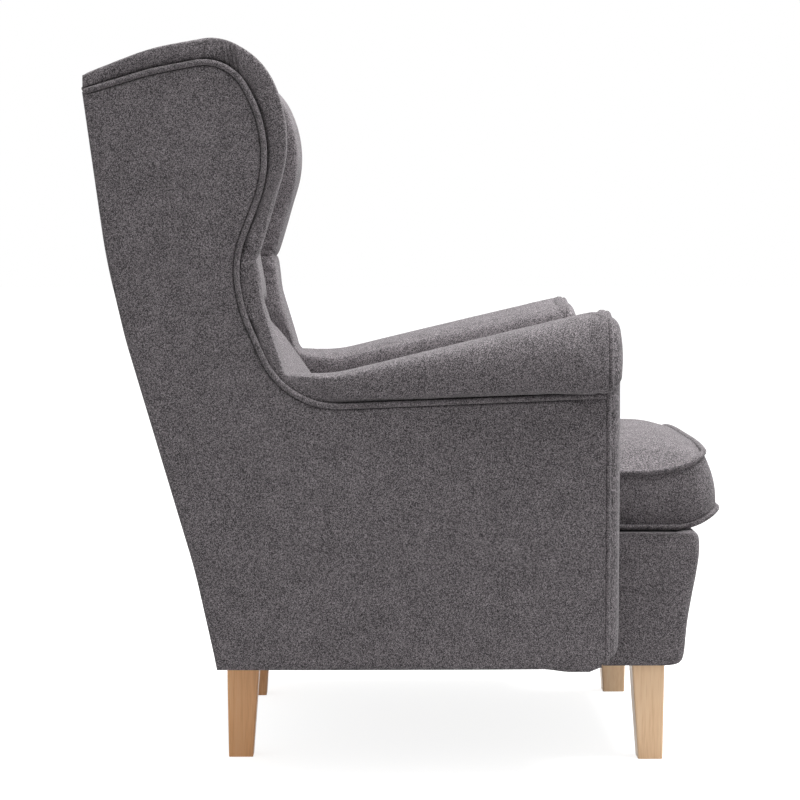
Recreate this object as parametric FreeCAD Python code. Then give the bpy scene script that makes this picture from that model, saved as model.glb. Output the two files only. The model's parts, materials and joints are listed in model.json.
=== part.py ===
import FreeCAD, Part

import math
import os

from FreeCAD import Vector

# Driving dimensions, in millimetres.
# X runs across the chair, with +X at the sitter's left. The chair faces -Y. Z is up from the floor.

# Overall
OVERALL_WIDTH = 820.0            # over the lips of the two arm rolls
OVERALL_DEPTH = 895.0            # front of the cushion to the rear top welt
OVERALL_HEIGHT = 1011.0          # floor to the peak of the wings
SEAT_WIDTH = 510.0               # clear width between the arm pads
LEG_HEIGHT = 152.0               # floor to the underside of the frame
DECK_HEIGHT = 325.0              # floor to the top of the deck that the cushion lies on
NECK_HEIGHT = 712.5              # floor to the seam where the wing meets the arm riser
ARM_FRONT_HEIGHT = 641.5         # floor to the arm top at its front
ARM_REAR_HEIGHT = 546.0          # floor to the arm top where the riser starts
ARM_SETBACK = 186.0              # front of the cushion to the seam of the arm front
SOFT_CLEARANCE = 0.3             # between a pad and its neighbour

# Side outline
# The wing's pairs are forward of the rear and down from the peak, for the crest from its unrounded corner.
# The riser's pairs are forward of the rear and down from the neck.
REAR_WELT_STAND = 3.0            # how far the rear top welt stands out from the outside back
WING_WELT = ((0.0, 74.0), (181.0, 20.5), (265.5, 139.0))
WING_CREST = ((0.0, 63.0), (192.0, 0.0), (292.0, 123.5))
RISER_WELT = ((200.0, 0.0), (209.0, 68.0))
RISER_CREST = ((230.0, 0.0), (244.0, 72.5))
ARM_WELT_REAR_HEIGHT = 510.0
ARM_WELT_FRONT_HEIGHT = 527.5
ARM_REAR_FORWARD = 270.0         # rear of the chair to the foot of the riser
WELT_ROUNDS = (80.0, 130.0, 120.0, 150.0, 112.0)
CREST_ROUNDS = (70.0, 200.0, 20.0, 150.0, 60.0)
REAR_TOP_ROUND = 40.0
REAR_SHOULDER = (35.0, 694.5)    # outside back, forward of its top and above the floor
REAR_WAIST = (136.0, 331.0)
REAR_FOOT_FORWARD = 180.0
REAR_ROUND = 1500.0
WELT_DIAMETER = 9.0
WELT_CLEARANCE = 0.4

# Side thicknesses
ROLL_OVERHANG = 35.0             # lip of the arm roll beyond the side, at the front
ROLL_OVERHANG_REAR = 2.0
ROLL_LIP_ROUND = 13.0
ROLL_LIP_HEIGHT = 24.0           # upright part of the lip, at the front
ROLL_LIP_HEIGHT_REAR = 16.0
ROLL_LIP_RISE = 3.0              # lip corner above the seam
ROLL_BROW_ROUND = 40.0
ROLL_TOP_ROUND = 72.0
ROLL_INNER_ROUND = 46.0
ROLL_LEAN = 26.0                 # how far the roll's outer face leans in from lip to top
SIDE_COVER_THICKNESS = 4.0
SIDE_PLY_THICKNESS = 18.0
PLY_EDGE_SETBACK = 8.0           # ply edge inside the welt line
SIDE_FOOT_ROUND = 16.0           # lower front corner of the sides
WING_THICKNESS = 90.0
# Padded band: distance in from its inner face or from the flat side, and share from welt line to crest
BAND_INNER = ((0.0, 0.8), (8.0, 0.93), (26.0, 1.0))
BAND_OUTER = ((38.0, 1.0), (22.0, 0.88), (12.0, 0.68))
BAND_SEAM_SHARE = 0.4
WELT_SINK = 1.0                  # side welt's middle inside the face of the side cover
WELT_NOTCH = 4.0                 # room left in the arm pad beside the welt
COVER_EDGE_GAP = 0.5             # side cover's edge to the welt
ARM_PAD_THICKNESS = 15.0
ARM_PANEL_THICKNESS = 12.0
ARM_BOARD_THICKNESS = 15.0
ARM_JOINT_FORWARD = 348.0        # rear of the chair to the seam of arm pad and riser
POST_DEPTH = 30.0

# Arm front
FACING_CROWN = 23.0
FACING_EDGE_DEPTH = 11.0
FACING_TAPER = 16.0
FACING_BOTTOM_ROUND = 14.0
FACING_FOOT_RISE = 10.0          # underside of the frame to the foot of the facing
FACING_LIP_ROUND = 12.0          # hollow corner under the roll
FACING_STEP_RISE = 14.0          # deck to the step of the facing's inner edge
FACING_STEP_ROUND = 12.0

# Seat frame
RAIL_THICKNESS = 24.0
SIDE_RAIL_THICKNESS = 18.0
RAIL_TOP_DROP = 22.0             # rail tops below the deck top
FRONT_RAIL_REACH = 121.0         # arm front seam to the front of the front rail
SEAT_REAR_RAIL_FORWARD = 256.0   # rear of the chair to the front of the seat's rear rail
SEAT_REAR_RAIL_GAP = 25.0        # corner blocks to the underside of the seat's rear rail
BASE_REAR_RAIL_HEIGHT = 100.0
BLOCK_SIZE = 70.0
BLOCK_REAR_LENGTH = 94.0
BLOCK_HEIGHT = 45.0
BASE_RAIL_GAP = 1.0              # base's rear rail to the outside back
SCREW_DIAMETER = 5.0
SCREW_HEAD_DIAMETER = 10.0
SCREW_HEAD_HEIGHT = 3.0
SCREW_BITE = 12.0                # thread length in the side rail
SCREW_SPACING = 22.0
SCREW_EDGE = 19.0                # screw line to the inner end of the block
HOLE_CLEARANCE = 0.3

# Legs
LEG_TOP_SIZE = 48.0
LEG_FOOT_SIZE = 35.0
LEG_OUTER_LEAN = 2.0             # how far the outer faces lean in from top to foot
LEG_EDGE_ROUND = 3.0
FRONT_LEG_INSET = 8.0            # outer face of the front leg inside the side rail's outer face
REAR_LEG_INSET = 30.0
FRONT_LEG_SETBACK = 22.5         # front of the front rail to the front face of the leg
REAR_LEG_SETBACK = 1.0           # rear face of the leg inside the outside back
BOLT_DIAMETER = 8.0
BOLT_DEPTH = 60.0                # of the bolt in the leg
INSERT_DIAMETER = 12.0
INSERT_LENGTH = 25.0

# Seat suspension and deck
SPRING_WIRE = 3.8
SPRING_COUNT = 5
SPRING_SPACING = 90.0
SPRING_RUNS = 21                 # cross runs of one spring, the first and last in clips
SPRING_AMPLITUDE = 22.0
SPRING_END_INSET = 12.0          # end run inside the outer face of its rail
CLIP_LENGTH = 12.0
CLIP_WIDTH = 12.0
CLIP_WALL = 1.8
FELT_THICKNESS = 3.0
DECK_EDGE = 1.0                  # deck sheets inside the front rail's face and the webbing
DUST_COVER_THICKNESS = 1.5
DUST_COVER_GAP = 1.0             # around each leg

# Back
BACK_PANEL_THICKNESS = 4.0
BACK_RAIL_CLEARANCE = 4.0        # back rails to the outside back
TOP_RAIL_DEPTH = 45.0
TOP_RAIL_DROP = 83.0             # peak of the wings to the top of the back's top rail
TOP_RAIL_HEIGHT = 73.0
LUMBAR_RAIL_DROP = 78.0          # neck to the top of the lumbar rail
LUMBAR_RAIL_HEIGHT = 70.0
LUMBAR_RAIL_DEPTH = 25.0
STRAP_COUNT = 4
STRAP_WIDTH = 40.0
STRAP_THICKNESS = 2.0
CREASE_DROP = 84.5               # neck to the sewn crease across the inside back
CREASE_DEPTH = 14.0
CREASE_HALF_WIDTH = 20.0
BACK_CROWN = 16.0                # fall of the inside back's face from its middle to its sides
BACK_FOOT_FORWARD = 357.0        # rear of the chair to the inside back's face at the deck
BACK_LOIN_FORWARD = 336.0
BACK_LOIN_HEIGHT = 473.0
BACK_CREASE_FORWARD = 230.0
BACK_TOP_FORWARD = 183.0
TOP_PAD_FORWARD = 196.0
TOP_PAD_DROP = 10.0              # peak of the wings to the middle of the back's top
TOP_PAD_FALL = 40.0
TOP_PAD_ROUND = 60.0
BACK_SWELL = 6.0                 # how far the upper inside back bulges between neck and top
BACK_FOOT_EASE = 4.0             # how far the lower inside back draws in above the deck

# Apron
APRON_THICKNESS = 5.0
APRON_CROWN = 19.0               # how far its front swells out
APRON_BOTTOM_DROP = 13.0
APRON_CORNER = 14.0
# Shares of the apron's height and of its swell
APRON_PROFILE = ((0.0, 0.0), (0.25, 0.06), (0.5, 0.42), (0.75, 0.85), (0.88, 0.95), (0.96, 0.75), (1.0, 0.3))

# Seat cushion
CUSHION_SIDE_CLEARANCE = 2.0
CUSHION_LENGTH = 534.0
CUSHION_BOXING = 74.0            # lower welt to upper welt
CUSHION_UNDERSIDE = 10.0         # deck to the lower welt
CUSHION_CROWN = 56.0             # upper welt to the top of the crown
CUSHION_FRONT_LEAN = 27.0        # how far the upper welt lies behind the lower one at the front
CUSHION_CORNER = 46.0
CUSHION_CROWN_ROUNDING = 0.7     # growth of the corner radius as the crown's outline shrinks
CUSHION_DRAW_IN = 4.0            # how far each side pulls in between its corners
CUSHION_SWELL = 4.0              # boxing beyond its welt seams
CUSHION_WELT_GAP = 1.0           # welt to the cover at its seam
CUSHION_SIDE_BEND = 900.0        # radius of the drawn-in sides at their middles
CUSHION_COVER_THICKNESS = 2.5
# Underside and crown: share of their height, and distance in from the outline
CUSHION_BELLY = ((0.03, 60.0), (0.5, 24.0))
CUSHION_DOME = ((0.3, 24.0), (0.58, 52.0), (0.8, 95.0), (0.93, 150.0), (1.0, 215.0))
CUSHION_FLAT_DRAW = 1.0          # draw-in of the outlines of belly and dome

# Places worked out from the driving dimensions
front_y = -OVERALL_DEPTH / 2
rear_y = OVERALL_DEPTH / 2 - REAR_WELT_STAND
arm_face_y = front_y + ARM_SETBACK
rail_front_y = arm_face_y - FRONT_RAIL_REACH
arm_joint_y = rear_y - ARM_JOINT_FORWARD
welt_radius = WELT_DIAMETER / 2
welt_gap = welt_radius + WELT_CLEARANCE
side_x = OVERALL_WIDTH / 2 - ROLL_OVERHANG
cover_inner_x = side_x - SIDE_COVER_THICKNESS
ply_inner_x = cover_inner_x - SIDE_PLY_THICKNESS
arm_inner_x = SEAT_WIDTH / 2
arm_panel_x = arm_inner_x + ARM_PAD_THICKNESS
post_x = arm_panel_x + ARM_PANEL_THICKNESS
wing_inner_x = side_x - WING_THICKNESS
side_rail_inner_x = arm_panel_x - SIDE_RAIL_THICKNESS
rail_top_z = DECK_HEIGHT - RAIL_TOP_DROP
seat_rear_rail_y = rear_y - SEAT_REAR_RAIL_FORWARD
top_rail_z = OVERALL_HEIGHT - TOP_RAIL_DROP
crease_z = NECK_HEIGHT - CREASE_DROP
pad_rear_y = rear_y - welt_radius - REAR_WELT_STAND


def mix(a, b, share):
    """Point or number at a share of the way from a to b."""
    if isinstance(a, tuple):
        return tuple(mix(p, q, share) for p, q in zip(a, b))
    return a + (b - a) * share


# Drawing helpers

def in_x(x, points):
    """Points given as (y, z) on the plane at x."""
    return [Vector(x, p[0], p[1]) for p in points]


def in_y(y, points):
    """Points given as (x, z) on the plane at y."""
    return [Vector(p[0], y, p[1]) for p in points]


def in_z(z, points):
    """Points given as (x, y) on the plane at z."""
    return [Vector(p[0], p[1], z) for p in points]


def rounded(points, radii, closed=True):
    """Wire of straight runs joined by tangent arcs; a radius that its runs can't hold is made smaller."""
    count = len(points)
    reaches = []
    halves = []
    for i in range(count):
        back = points[i - 1] - points[i]
        ahead = points[(i + 1) % count] - points[i]
        half = back.getAngle(ahead) / 2
        ended = not closed and i in (0, count - 1)
        reaches.append(0.0 if ended or radii[i] == 0 else radii[i] / math.tan(half))
        halves.append(half)
    shares = [1.0] * count
    for i in range(count if closed else count - 1):
        k = (i + 1) % count
        run = (points[k] - points[i]).Length
        wanted = reaches[i] + reaches[k]
        if wanted > 0.96 * run:
            shares[i] = min(shares[i], 0.96 * run / wanted)
            shares[k] = min(shares[k], 0.96 * run / wanted)
    arcs = []
    for i in range(count):
        reach = reaches[i] * shares[i]
        if reach == 0:
            arcs.append((points[i], None, points[i]))
            continue
        back = (points[i - 1] - points[i]).normalize()
        ahead = (points[(i + 1) % count] - points[i]).normalize()
        radius = reach * math.tan(halves[i])
        inward = (back + ahead).normalize()
        middle = points[i] + inward * (radius / math.sin(halves[i]) - radius)
        arcs.append((points[i] + back * reach, middle, points[i] + ahead * reach))
    edges = []
    for i in range(count):
        start, middle, end = arcs[i]
        if middle is not None:
            edges.append(Part.Arc(start, middle, end).toShape())
        if closed or i < count - 1:
            edges.append(Part.makeLine(end, arcs[(i + 1) % count][0]))
    return Part.Wire(edges)


def inset(points, radii, distances):
    """Closed outline of (a, b) points with edge i moved inward by distances[i]; arcs keep their centres."""
    count = len(points)
    area = sum(p[0] * q[1] - q[0] * p[1] for p, q in zip(points, points[1:] + points[:1]))
    turn = 1.0 if area > 0 else -1.0
    moved = []
    rounds = []
    for i in range(count):
        before, here, after = points[i - 1], points[i], points[(i + 1) % count]
        lines = []
        for start, end, distance in ((before, here, distances[i - 1]), (here, after, distances[i])):
            along = (end[0] - start[0], end[1] - start[1])
            length = math.hypot(*along)
            normal = (-turn * along[1] / length, turn * along[0] / length)
            lines.append((normal, normal[0] * here[0] + normal[1] * here[1] + distance))
        (m, c), (n, d) = lines
        cross = m[0] * n[1] - m[1] * n[0]
        moved.append(((c * n[1] - d * m[1]) / cross, (m[0] * d - n[0] * c) / cross))
        bend = distances[i] if cross * turn > 0 else -distances[i]
        rounds.append(max(radii[i] - bend, 1.0) if radii[i] > 0 else 0.0)
    return moved, rounds


def prism(wire, way):
    """Solid swept straight from a closed flat wire."""
    return Part.Face(wire).extrude(way)


def slab(outline, x0, x1):
    """Solid between x0 and x1 with a plain outline of (y, z) corners."""
    return prism(rounded(in_x(x0, outline), [0.0] * len(outline)), Vector(x1 - x0, 0, 0))


def box(x0, x1, y0, y1, z0, z1):
    """Box between two corners."""
    return Part.makeBox(x1 - x0, y1 - y0, z1 - z0, Vector(x0, y0, z0))


def rod(start, way, radius):
    """Round bar from a point along a vector."""
    return Part.makeCylinder(radius, way.Length, start, way)


def loft(wires):
    """Closed solid with straight rulings between matching wires."""
    return Part.makeLoft(wires, True, True)


def tube(path, radius):
    """Round cord along a tangent path."""
    first = path.OrderedEdges[0]
    start = first.valueAt(first.FirstParameter)
    ring = Part.Wire(Part.makeCircle(radius, start, first.tangentAt(first.FirstParameter)))
    return path.makePipeShell([ring], True, False)


def mirrored(shape):
    """The same piece on the other side of the chair."""
    return shape.mirror(Vector(0, 0, 0), Vector(1, 0, 0))


# Shared outlines

def corner_rise(before, corner, after, radius):
    """How far a sharp corner stands above the top of the arc that rounds it."""
    back = Vector(before[0] - corner[0], before[1] - corner[1], 0).normalize()
    ahead = Vector(after[0] - corner[0], after[1] - corner[1], 0).normalize()
    half = back.getAngle(ahead) / 2
    inward = (back + ahead).normalize()
    return -inward.y * radius / math.sin(half) - radius


peak_rise = corner_rise(*[(-p[0], -p[1]) for p in WING_CREST], CREST_ROUNDS[0])


def side_points(share):
    """Corners and radii of the side's upper edge, rear top to arm front: 0 is the welt, 1 the crest."""
    welt = [(rear_y - ahead, OVERALL_HEIGHT - down) for ahead, down in WING_WELT]
    welt += [(rear_y - ahead, NECK_HEIGHT - down) for ahead, down in RISER_WELT]
    welt += [(rear_y - ARM_REAR_FORWARD, ARM_WELT_REAR_HEIGHT), (arm_face_y, ARM_WELT_FRONT_HEIGHT)]
    crest = [(rear_y - ahead, OVERALL_HEIGHT + peak_rise - down) for ahead, down in WING_CREST]
    crest += [(rear_y - ahead, NECK_HEIGHT - down) for ahead, down in RISER_CREST]
    crest += [(rear_y - ARM_REAR_FORWARD, ARM_REAR_HEIGHT), (arm_face_y, ARM_FRONT_HEIGHT)]
    points = [mix(a, b, share) for a, b in zip(welt, crest)]
    radii = [0.0] + [mix(a, b, share) for a, b in zip(WELT_ROUNDS, CREST_ROUNDS)] + [0.0]
    return points, radii


def rear_points():
    """Corners of the outside back, from its foot up to its top."""
    foot = (rear_y - REAR_FOOT_FORWARD, LEG_HEIGHT)
    waist = (rear_y - REAR_WAIST[0], REAR_WAIST[1])
    shoulder = (rear_y - REAR_SHOULDER[0], REAR_SHOULDER[1])
    return [foot, waist, shoulder, (rear_y, OVERALL_HEIGHT - WING_WELT[0][1])]


def rear_at(z):
    """Outside back's y at a height, along its straight runs."""
    points = rear_points()
    for low, high in zip(points, points[1:]):
        if z <= high[1]:
            return mix(low[0], high[0], (z - low[1]) / (high[1] - low[1]))
    return points[-1][0]


def web_at(z):
    """Plane that the back's webbing lies on, as y at a height."""
    top_y = rear_at(top_rail_z) - BACK_PANEL_THICKNESS - BACK_RAIL_CLEARANCE - TOP_RAIL_DEPTH
    return mix(seat_rear_rail_y, top_y, (z - rail_top_z) / (top_rail_z - rail_top_z))


def pad_back_at(z):
    """Rear limit of the back's pads, just in front of the webbing."""
    return web_at(z) - STRAP_THICKNESS - SOFT_CLEARANCE


def arm_heights(y):
    """Heights of the welt and of the crest along the arm at y."""
    rear = rear_y - ARM_REAR_FORWARD
    share = (rear - y) / (rear - arm_face_y)
    welt = mix(ARM_WELT_REAR_HEIGHT, ARM_WELT_FRONT_HEIGHT, share)
    crest = mix(ARM_REAR_HEIGHT, ARM_FRONT_HEIGHT, share)
    return welt, crest


def side_outline(top_setback, rear_setback):
    """Closed outline of the flat side, set in from the welt line and from the outside back."""
    points, radii = side_points(0.0)
    foot, waist, shoulder, _ = rear_points()
    points += [(arm_face_y, LEG_HEIGHT), foot, waist, shoulder]
    radii += [SIDE_FOOT_ROUND, 0.0, REAR_ROUND, REAR_ROUND]
    distances = [top_setback] * 6 + [0.0, 0.0] + [rear_setback] * 3
    return inset(points, radii, distances)


# Wooden frame

def side_frame():
    """Plywood side from wing to base, left side."""
    points, radii = side_outline(PLY_EDGE_SETBACK, BACK_PANEL_THICKNESS)
    return prism(rounded(in_x(ply_inner_x, points), radii), Vector(SIDE_PLY_THICKNESS, 0, 0))


def board_top(y):
    """Top of the arm's top board, level with the ply edge."""
    return arm_heights(y)[0] - PLY_EDGE_SETBACK


def under_board(y0, y1):
    """Outline of a piece that stands from the base to the underside of the arm's top board."""
    tops = [(y, board_top(y) - ARM_BOARD_THICKNESS) for y in (y1, y0)]
    return [(y0, LEG_HEIGHT), (y1, LEG_HEIGHT)] + tops


def arm_rear_end():
    """Rear end of the arm's boards, clear of the riser pad."""
    return arm_joint_y - 2 * SOFT_CLEARANCE


def arm_inner_panel():
    """Panel behind the arm's inside pad, left side."""
    return slab(under_board(arm_face_y, arm_rear_end()), arm_panel_x, post_x)


def arm_front_post():
    """Post between inner panel and side at the arm front, left side."""
    outline = in_x(post_x, under_board(arm_face_y, arm_face_y + POST_DEPTH))
    return prism(rounded(outline, [SIDE_FOOT_ROUND, 0.0, 0.0, 0.0]), Vector(ply_inner_x - post_x, 0, 0))


def arm_rear_post():
    """Post between inner panel and side at the rear of the arm, left side."""
    return slab(under_board(arm_rear_end() - POST_DEPTH, arm_rear_end()), post_x, ply_inner_x)


def arm_top_board():
    """Board on the inner panel and posts that carries the arm pad, left side."""
    ends = (arm_face_y, arm_rear_end())
    low = [(y, board_top(y) - ARM_BOARD_THICKNESS) for y in ends]
    high = [(y, board_top(y)) for y in reversed(ends)]
    return slab(low + high, arm_panel_x, ply_inner_x)


def base_rear_front():
    """Front face of the base's rear rail."""
    return rear_at(LEG_HEIGHT) - BACK_PANEL_THICKNESS - BASE_RAIL_GAP - RAIL_THICKNESS


def seat_front_rail():
    """Rail under the front edge of the deck."""
    return box(-arm_panel_x, arm_panel_x, rail_front_y, rail_front_y + RAIL_THICKNESS, LEG_HEIGHT, rail_top_z)


def seat_side_rail():
    """Rail along the side of the deck, with its screw holes, left side."""
    front = rail_front_y + RAIL_THICKNESS
    rail = box(side_rail_inner_x, arm_panel_x, front, base_rear_front(), LEG_HEIGHT, rail_top_z)
    return rail.cut(Part.makeCompound(screw_holes()))


def seat_rear_rail():
    """Rail that holds the rear ends of the springs."""
    low = LEG_HEIGHT + BLOCK_HEIGHT + SEAT_REAR_RAIL_GAP
    far = seat_rear_rail_y + RAIL_THICKNESS
    return box(-side_rail_inner_x, side_rail_inner_x, seat_rear_rail_y, far, low, rail_top_z)


def base_rear_rail():
    """Rail across the foot of the back, on the rear corner blocks."""
    low = LEG_HEIGHT + BLOCK_HEIGHT
    near = base_rear_front()
    return box(-ply_inner_x, ply_inner_x, near, near + RAIL_THICKNESS, low, low + BASE_REAR_RAIL_HEIGHT)


def back_top_rail():
    """Rail across the top of the back, its front on the webbing's plane."""
    low = top_rail_z - TOP_RAIL_HEIGHT
    gap = BACK_PANEL_THICKNESS + BACK_RAIL_CLEARANCE
    outline = [(web_at(low), low), (web_at(top_rail_z), top_rail_z)]
    outline += [(rear_at(top_rail_z) - gap, top_rail_z), (rear_at(low) - gap, low)]
    return slab(outline, -ply_inner_x, ply_inner_x)


def back_lumbar_rail():
    """Rail behind the webbing at the small of the back."""
    high = NECK_HEIGHT - LUMBAR_RAIL_DROP
    low = high - LUMBAR_RAIL_HEIGHT
    outline = [(web_at(low), low), (web_at(high), high)]
    outline += [(web_at(high) + LUMBAR_RAIL_DEPTH, high), (web_at(low) + LUMBAR_RAIL_DEPTH, low)]
    return slab(outline, -ply_inner_x, ply_inner_x)


# Corner blocks, legs and their fasteners

def block_spans():
    """Y span of the front and rear corner blocks."""
    front = rail_front_y + RAIL_THICKNESS
    rear = base_rear_front() + RAIL_THICKNESS
    return (front, front + BLOCK_SIZE), (rear - BLOCK_REAR_LENGTH, rear)


def leg_tops():
    """Outer corner of each left leg's top, front then rear, and the sign of its outward y."""
    front_corner = (arm_panel_x - FRONT_LEG_INSET, rail_front_y + FRONT_LEG_SETBACK, -1)
    rear_corner = (arm_panel_x - REAR_LEG_INSET, rear_at(LEG_HEIGHT) - REAR_LEG_SETBACK, 1)
    return front_corner, rear_corner


def bolt_place(corner):
    """Point on the frame's underside over the middle of a leg."""
    x, y, way = corner
    return Vector(x - LEG_TOP_SIZE / 2, y - way * LEG_TOP_SIZE / 2, LEG_HEIGHT)


def leg(corner):
    """Tapered square leg with eased edges and the hole for its bolt."""
    x, y, way = corner

    def square(size, lean, z):
        outer_x = x - lean
        outer_y = y - way * lean
        inner_x = outer_x - size
        inner_y = outer_y - way * size
        corners = [(inner_x, inner_y), (outer_x, inner_y), (outer_x, outer_y), (inner_x, outer_y)]
        return rounded(in_z(z, corners), [LEG_EDGE_ROUND] * 4)

    body = loft([square(LEG_FOOT_SIZE, LEG_OUTER_LEAN, 0.0), square(LEG_TOP_SIZE, 0.0, LEG_HEIGHT)])
    hole = rod(bolt_place(corner), Vector(0, 0, -BOLT_DEPTH), BOLT_DIAMETER / 2 + HOLE_CLEARANCE)
    return body.cut(hole)


def screw_lines():
    """Start and full length of each screw from a left corner block into the side rail."""
    inner_x = side_rail_inner_x - BLOCK_SIZE
    front, rear = block_spans()
    middle_z = LEG_HEIGHT + BLOCK_HEIGHT / 2
    lines = []
    for y in (front[1] - SCREW_EDGE, rear[0] + SCREW_EDGE):
        for side in (-0.5, 0.5):
            start = Vector(inner_x, y, middle_z + side * SCREW_SPACING)
            lines.append((start, Vector(BLOCK_SIZE + SCREW_BITE, 0, 0)))
    return lines


def screw_holes():
    """Clearance holes for the left corner block screws."""
    reach = Vector(HOLE_CLEARANCE, 0, 0)
    return [rod(start, way + reach, SCREW_DIAMETER / 2 + HOLE_CLEARANCE) for start, way in screw_lines()]


def corner_block_screws():
    """Screws through the corner blocks, both sides."""
    screws = []
    for start, way in screw_lines():
        head = rod(start, Vector(-SCREW_HEAD_HEIGHT, 0, 0), SCREW_HEAD_DIAMETER / 2)
        screw = head.fuse(rod(start, way, SCREW_DIAMETER / 2)).removeSplitter()
        screws += [screw, mirrored(screw)]
    return Part.makeCompound(screws)


def corner_blocks():
    """Blocks in the corners of the seat frame, drilled for screws and leg inserts, both sides."""
    blocks = []
    holes = screw_holes()
    inner_x = side_rail_inner_x - BLOCK_SIZE
    for span, corner in zip(block_spans(), leg_tops()):
        block = box(inner_x, side_rail_inner_x, *span, LEG_HEIGHT, LEG_HEIGHT + BLOCK_HEIGHT)
        socket = Vector(0, 0, INSERT_LENGTH + HOLE_CLEARANCE)
        holes_here = holes + [rod(bolt_place(corner), socket, INSERT_DIAMETER / 2 + HOLE_CLEARANCE)]
        block = block.cut(Part.makeCompound(holes_here))
        blocks += [block, mirrored(block)]
    return Part.makeCompound(blocks)


def leg_inserts():
    """Threaded inserts in the corner blocks, both sides."""
    inserts = []
    for corner in leg_tops():
        length = Vector(0, 0, INSERT_LENGTH)
        sleeve = rod(bolt_place(corner), length, INSERT_DIAMETER / 2)
        sleeve = sleeve.cut(rod(bolt_place(corner), length, BOLT_DIAMETER / 2 + HOLE_CLEARANCE))
        inserts += [sleeve, mirrored(sleeve)]
    return Part.makeCompound(inserts)


def leg_bolts():
    """Hanger bolts from each leg up into its insert, both sides."""
    bolts = []
    for corner in leg_tops():
        foot = bolt_place(corner) - Vector(0, 0, BOLT_DEPTH - HOLE_CLEARANCE)
        bolt = rod(foot, Vector(0, 0, BOLT_DEPTH + INSERT_LENGTH - 2 * HOLE_CLEARANCE), BOLT_DIAMETER / 2)
        bolts += [bolt, mirrored(bolt)]
    return Part.makeCompound(bolts)


# Seat suspension

spring_z = rail_top_z + SPRING_WIRE / 2 + SOFT_CLEARANCE
spring_front_y = rail_front_y + SPRING_END_INSET
spring_rear_y = seat_rear_rail_y + RAIL_THICKNESS - SPRING_END_INSET
spring_turn = (spring_rear_y - spring_front_y) / (SPRING_RUNS - 1) / 2
clip_top_z = spring_z + SPRING_WIRE / 2 + SOFT_CLEARANCE + CLIP_WALL


def spring_places():
    """X of each spring."""
    first = -SPRING_SPACING * (SPRING_COUNT - 1) / 2
    return [first + i * SPRING_SPACING for i in range(SPRING_COUNT)]


def seat_spring(middle_x):
    """One zigzag spring: cross runs joined by half turns, each drawn as two quarter turns."""
    reach = SPRING_AMPLITUDE - spring_turn
    half = math.sqrt(0.5) * spring_turn
    edges = []
    for i in range(SPRING_RUNS):
        side = 1 if i % 2 == 0 else -1
        y = spring_front_y + 2 * spring_turn * i
        bend_x = middle_x + side * reach
        edges.append(Part.makeLine(Vector(middle_x - side * reach, y, spring_z), Vector(bend_x, y, spring_z)))
        if i == SPRING_RUNS - 1:
            break
        middle_y = y + spring_turn
        outer = Vector(bend_x + side * spring_turn, middle_y, spring_z)
        ends = (Vector(bend_x, y, spring_z), Vector(bend_x, y + 2 * spring_turn, spring_z))
        low = Vector(bend_x + side * half, middle_y - half, spring_z)
        high = Vector(bend_x + side * half, middle_y + half, spring_z)
        edges.append(Part.Arc(ends[0], low, outer).toShape())
        edges.append(Part.Arc(outer, high, ends[1]).toShape())
    return tube(Part.Wire(edges), SPRING_WIRE / 2)


def seat_springs():
    """The row of springs across the seat; prints the least gap of a spring to itself."""
    print("least gap of a spring to itself, mm:", round(2 * spring_turn - SPRING_WIRE, 2))
    return Part.makeCompound([seat_spring(x) for x in spring_places()])


def spring_clips():
    """Arched clips that hold the end runs of the springs on their rails, open below."""
    clips = []
    bore = SPRING_WIRE / 2 + SOFT_CLEARANCE
    for x in spring_places():
        near = x - CLIP_LENGTH / 2
        far = x + CLIP_LENGTH / 2
        for y in (spring_front_y, spring_rear_y):
            clip = box(near, far, y - CLIP_WIDTH / 2, y + CLIP_WIDTH / 2, rail_top_z, clip_top_z)
            clip = clip.cut(box(near, far, y - bore, y + bore, rail_top_z, spring_z))
            clips.append(clip.cut(rod(Vector(near, y, spring_z), Vector(CLIP_LENGTH, 0, 0), bore)))
    return Part.makeCompound(clips)


def deck_sheet(z0, z1):
    """Flat sheet over the springs, from the front rail to the webbing's foot."""
    half = arm_inner_x - CUSHION_SIDE_CLEARANCE
    return box(-half, half, rail_front_y + DECK_EDGE, pad_back_at(rail_top_z) - DECK_EDGE, z0, z1)


def deck_felt():
    """Felt over the springs and clips."""
    low = clip_top_z + SOFT_CLEARANCE
    return deck_sheet(low, low + FELT_THICKNESS)


def deck_pad():
    """Padded deck under the loose cushion."""
    return deck_sheet(clip_top_z + FELT_THICKNESS + 2 * SOFT_CLEARANCE, DECK_HEIGHT)


def dust_cover():
    """Cloth under the frame, cut out around the legs."""
    low = LEG_HEIGHT - DUST_COVER_THICKNESS
    narrow = box(-arm_panel_x, arm_panel_x, rail_front_y, arm_face_y, low, LEG_HEIGHT)
    wide = box(-cover_inner_x, cover_inner_x, arm_face_y, base_rear_front() + RAIL_THICKNESS, low, LEG_HEIGHT)
    cuts = []
    for x, y, way in leg_tops():
        side = LEG_TOP_SIZE + 2 * DUST_COVER_GAP
        near = min(y, y - way * LEG_TOP_SIZE)
        corner = Vector(x + DUST_COVER_GAP - side, near - DUST_COVER_GAP, low)
        hole = Part.makeBox(side, side, DUST_COVER_THICKNESS, corner)
        cuts += [hole, mirrored(hole)]
    return narrow.fuse(wide).removeSplitter().cut(Part.makeCompound(cuts))


# Back

def back_webbing():
    """Straps up the back, between the springs' lines."""
    straps = []
    low = rail_top_z
    high = top_rail_z - TOP_RAIL_HEIGHT / 2
    outline = [(web_at(low), low), (web_at(high), high)]
    outline += [(web_at(high) - STRAP_THICKNESS, high), (web_at(low) - STRAP_THICKNESS, low)]
    for i in range(STRAP_COUNT):
        x = (i - (STRAP_COUNT - 1) / 2) * SPRING_SPACING
        straps.append(slab(outline, x - STRAP_WIDTH / 2, x + STRAP_WIDTH / 2))
    return Part.makeCompound(straps)


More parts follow.
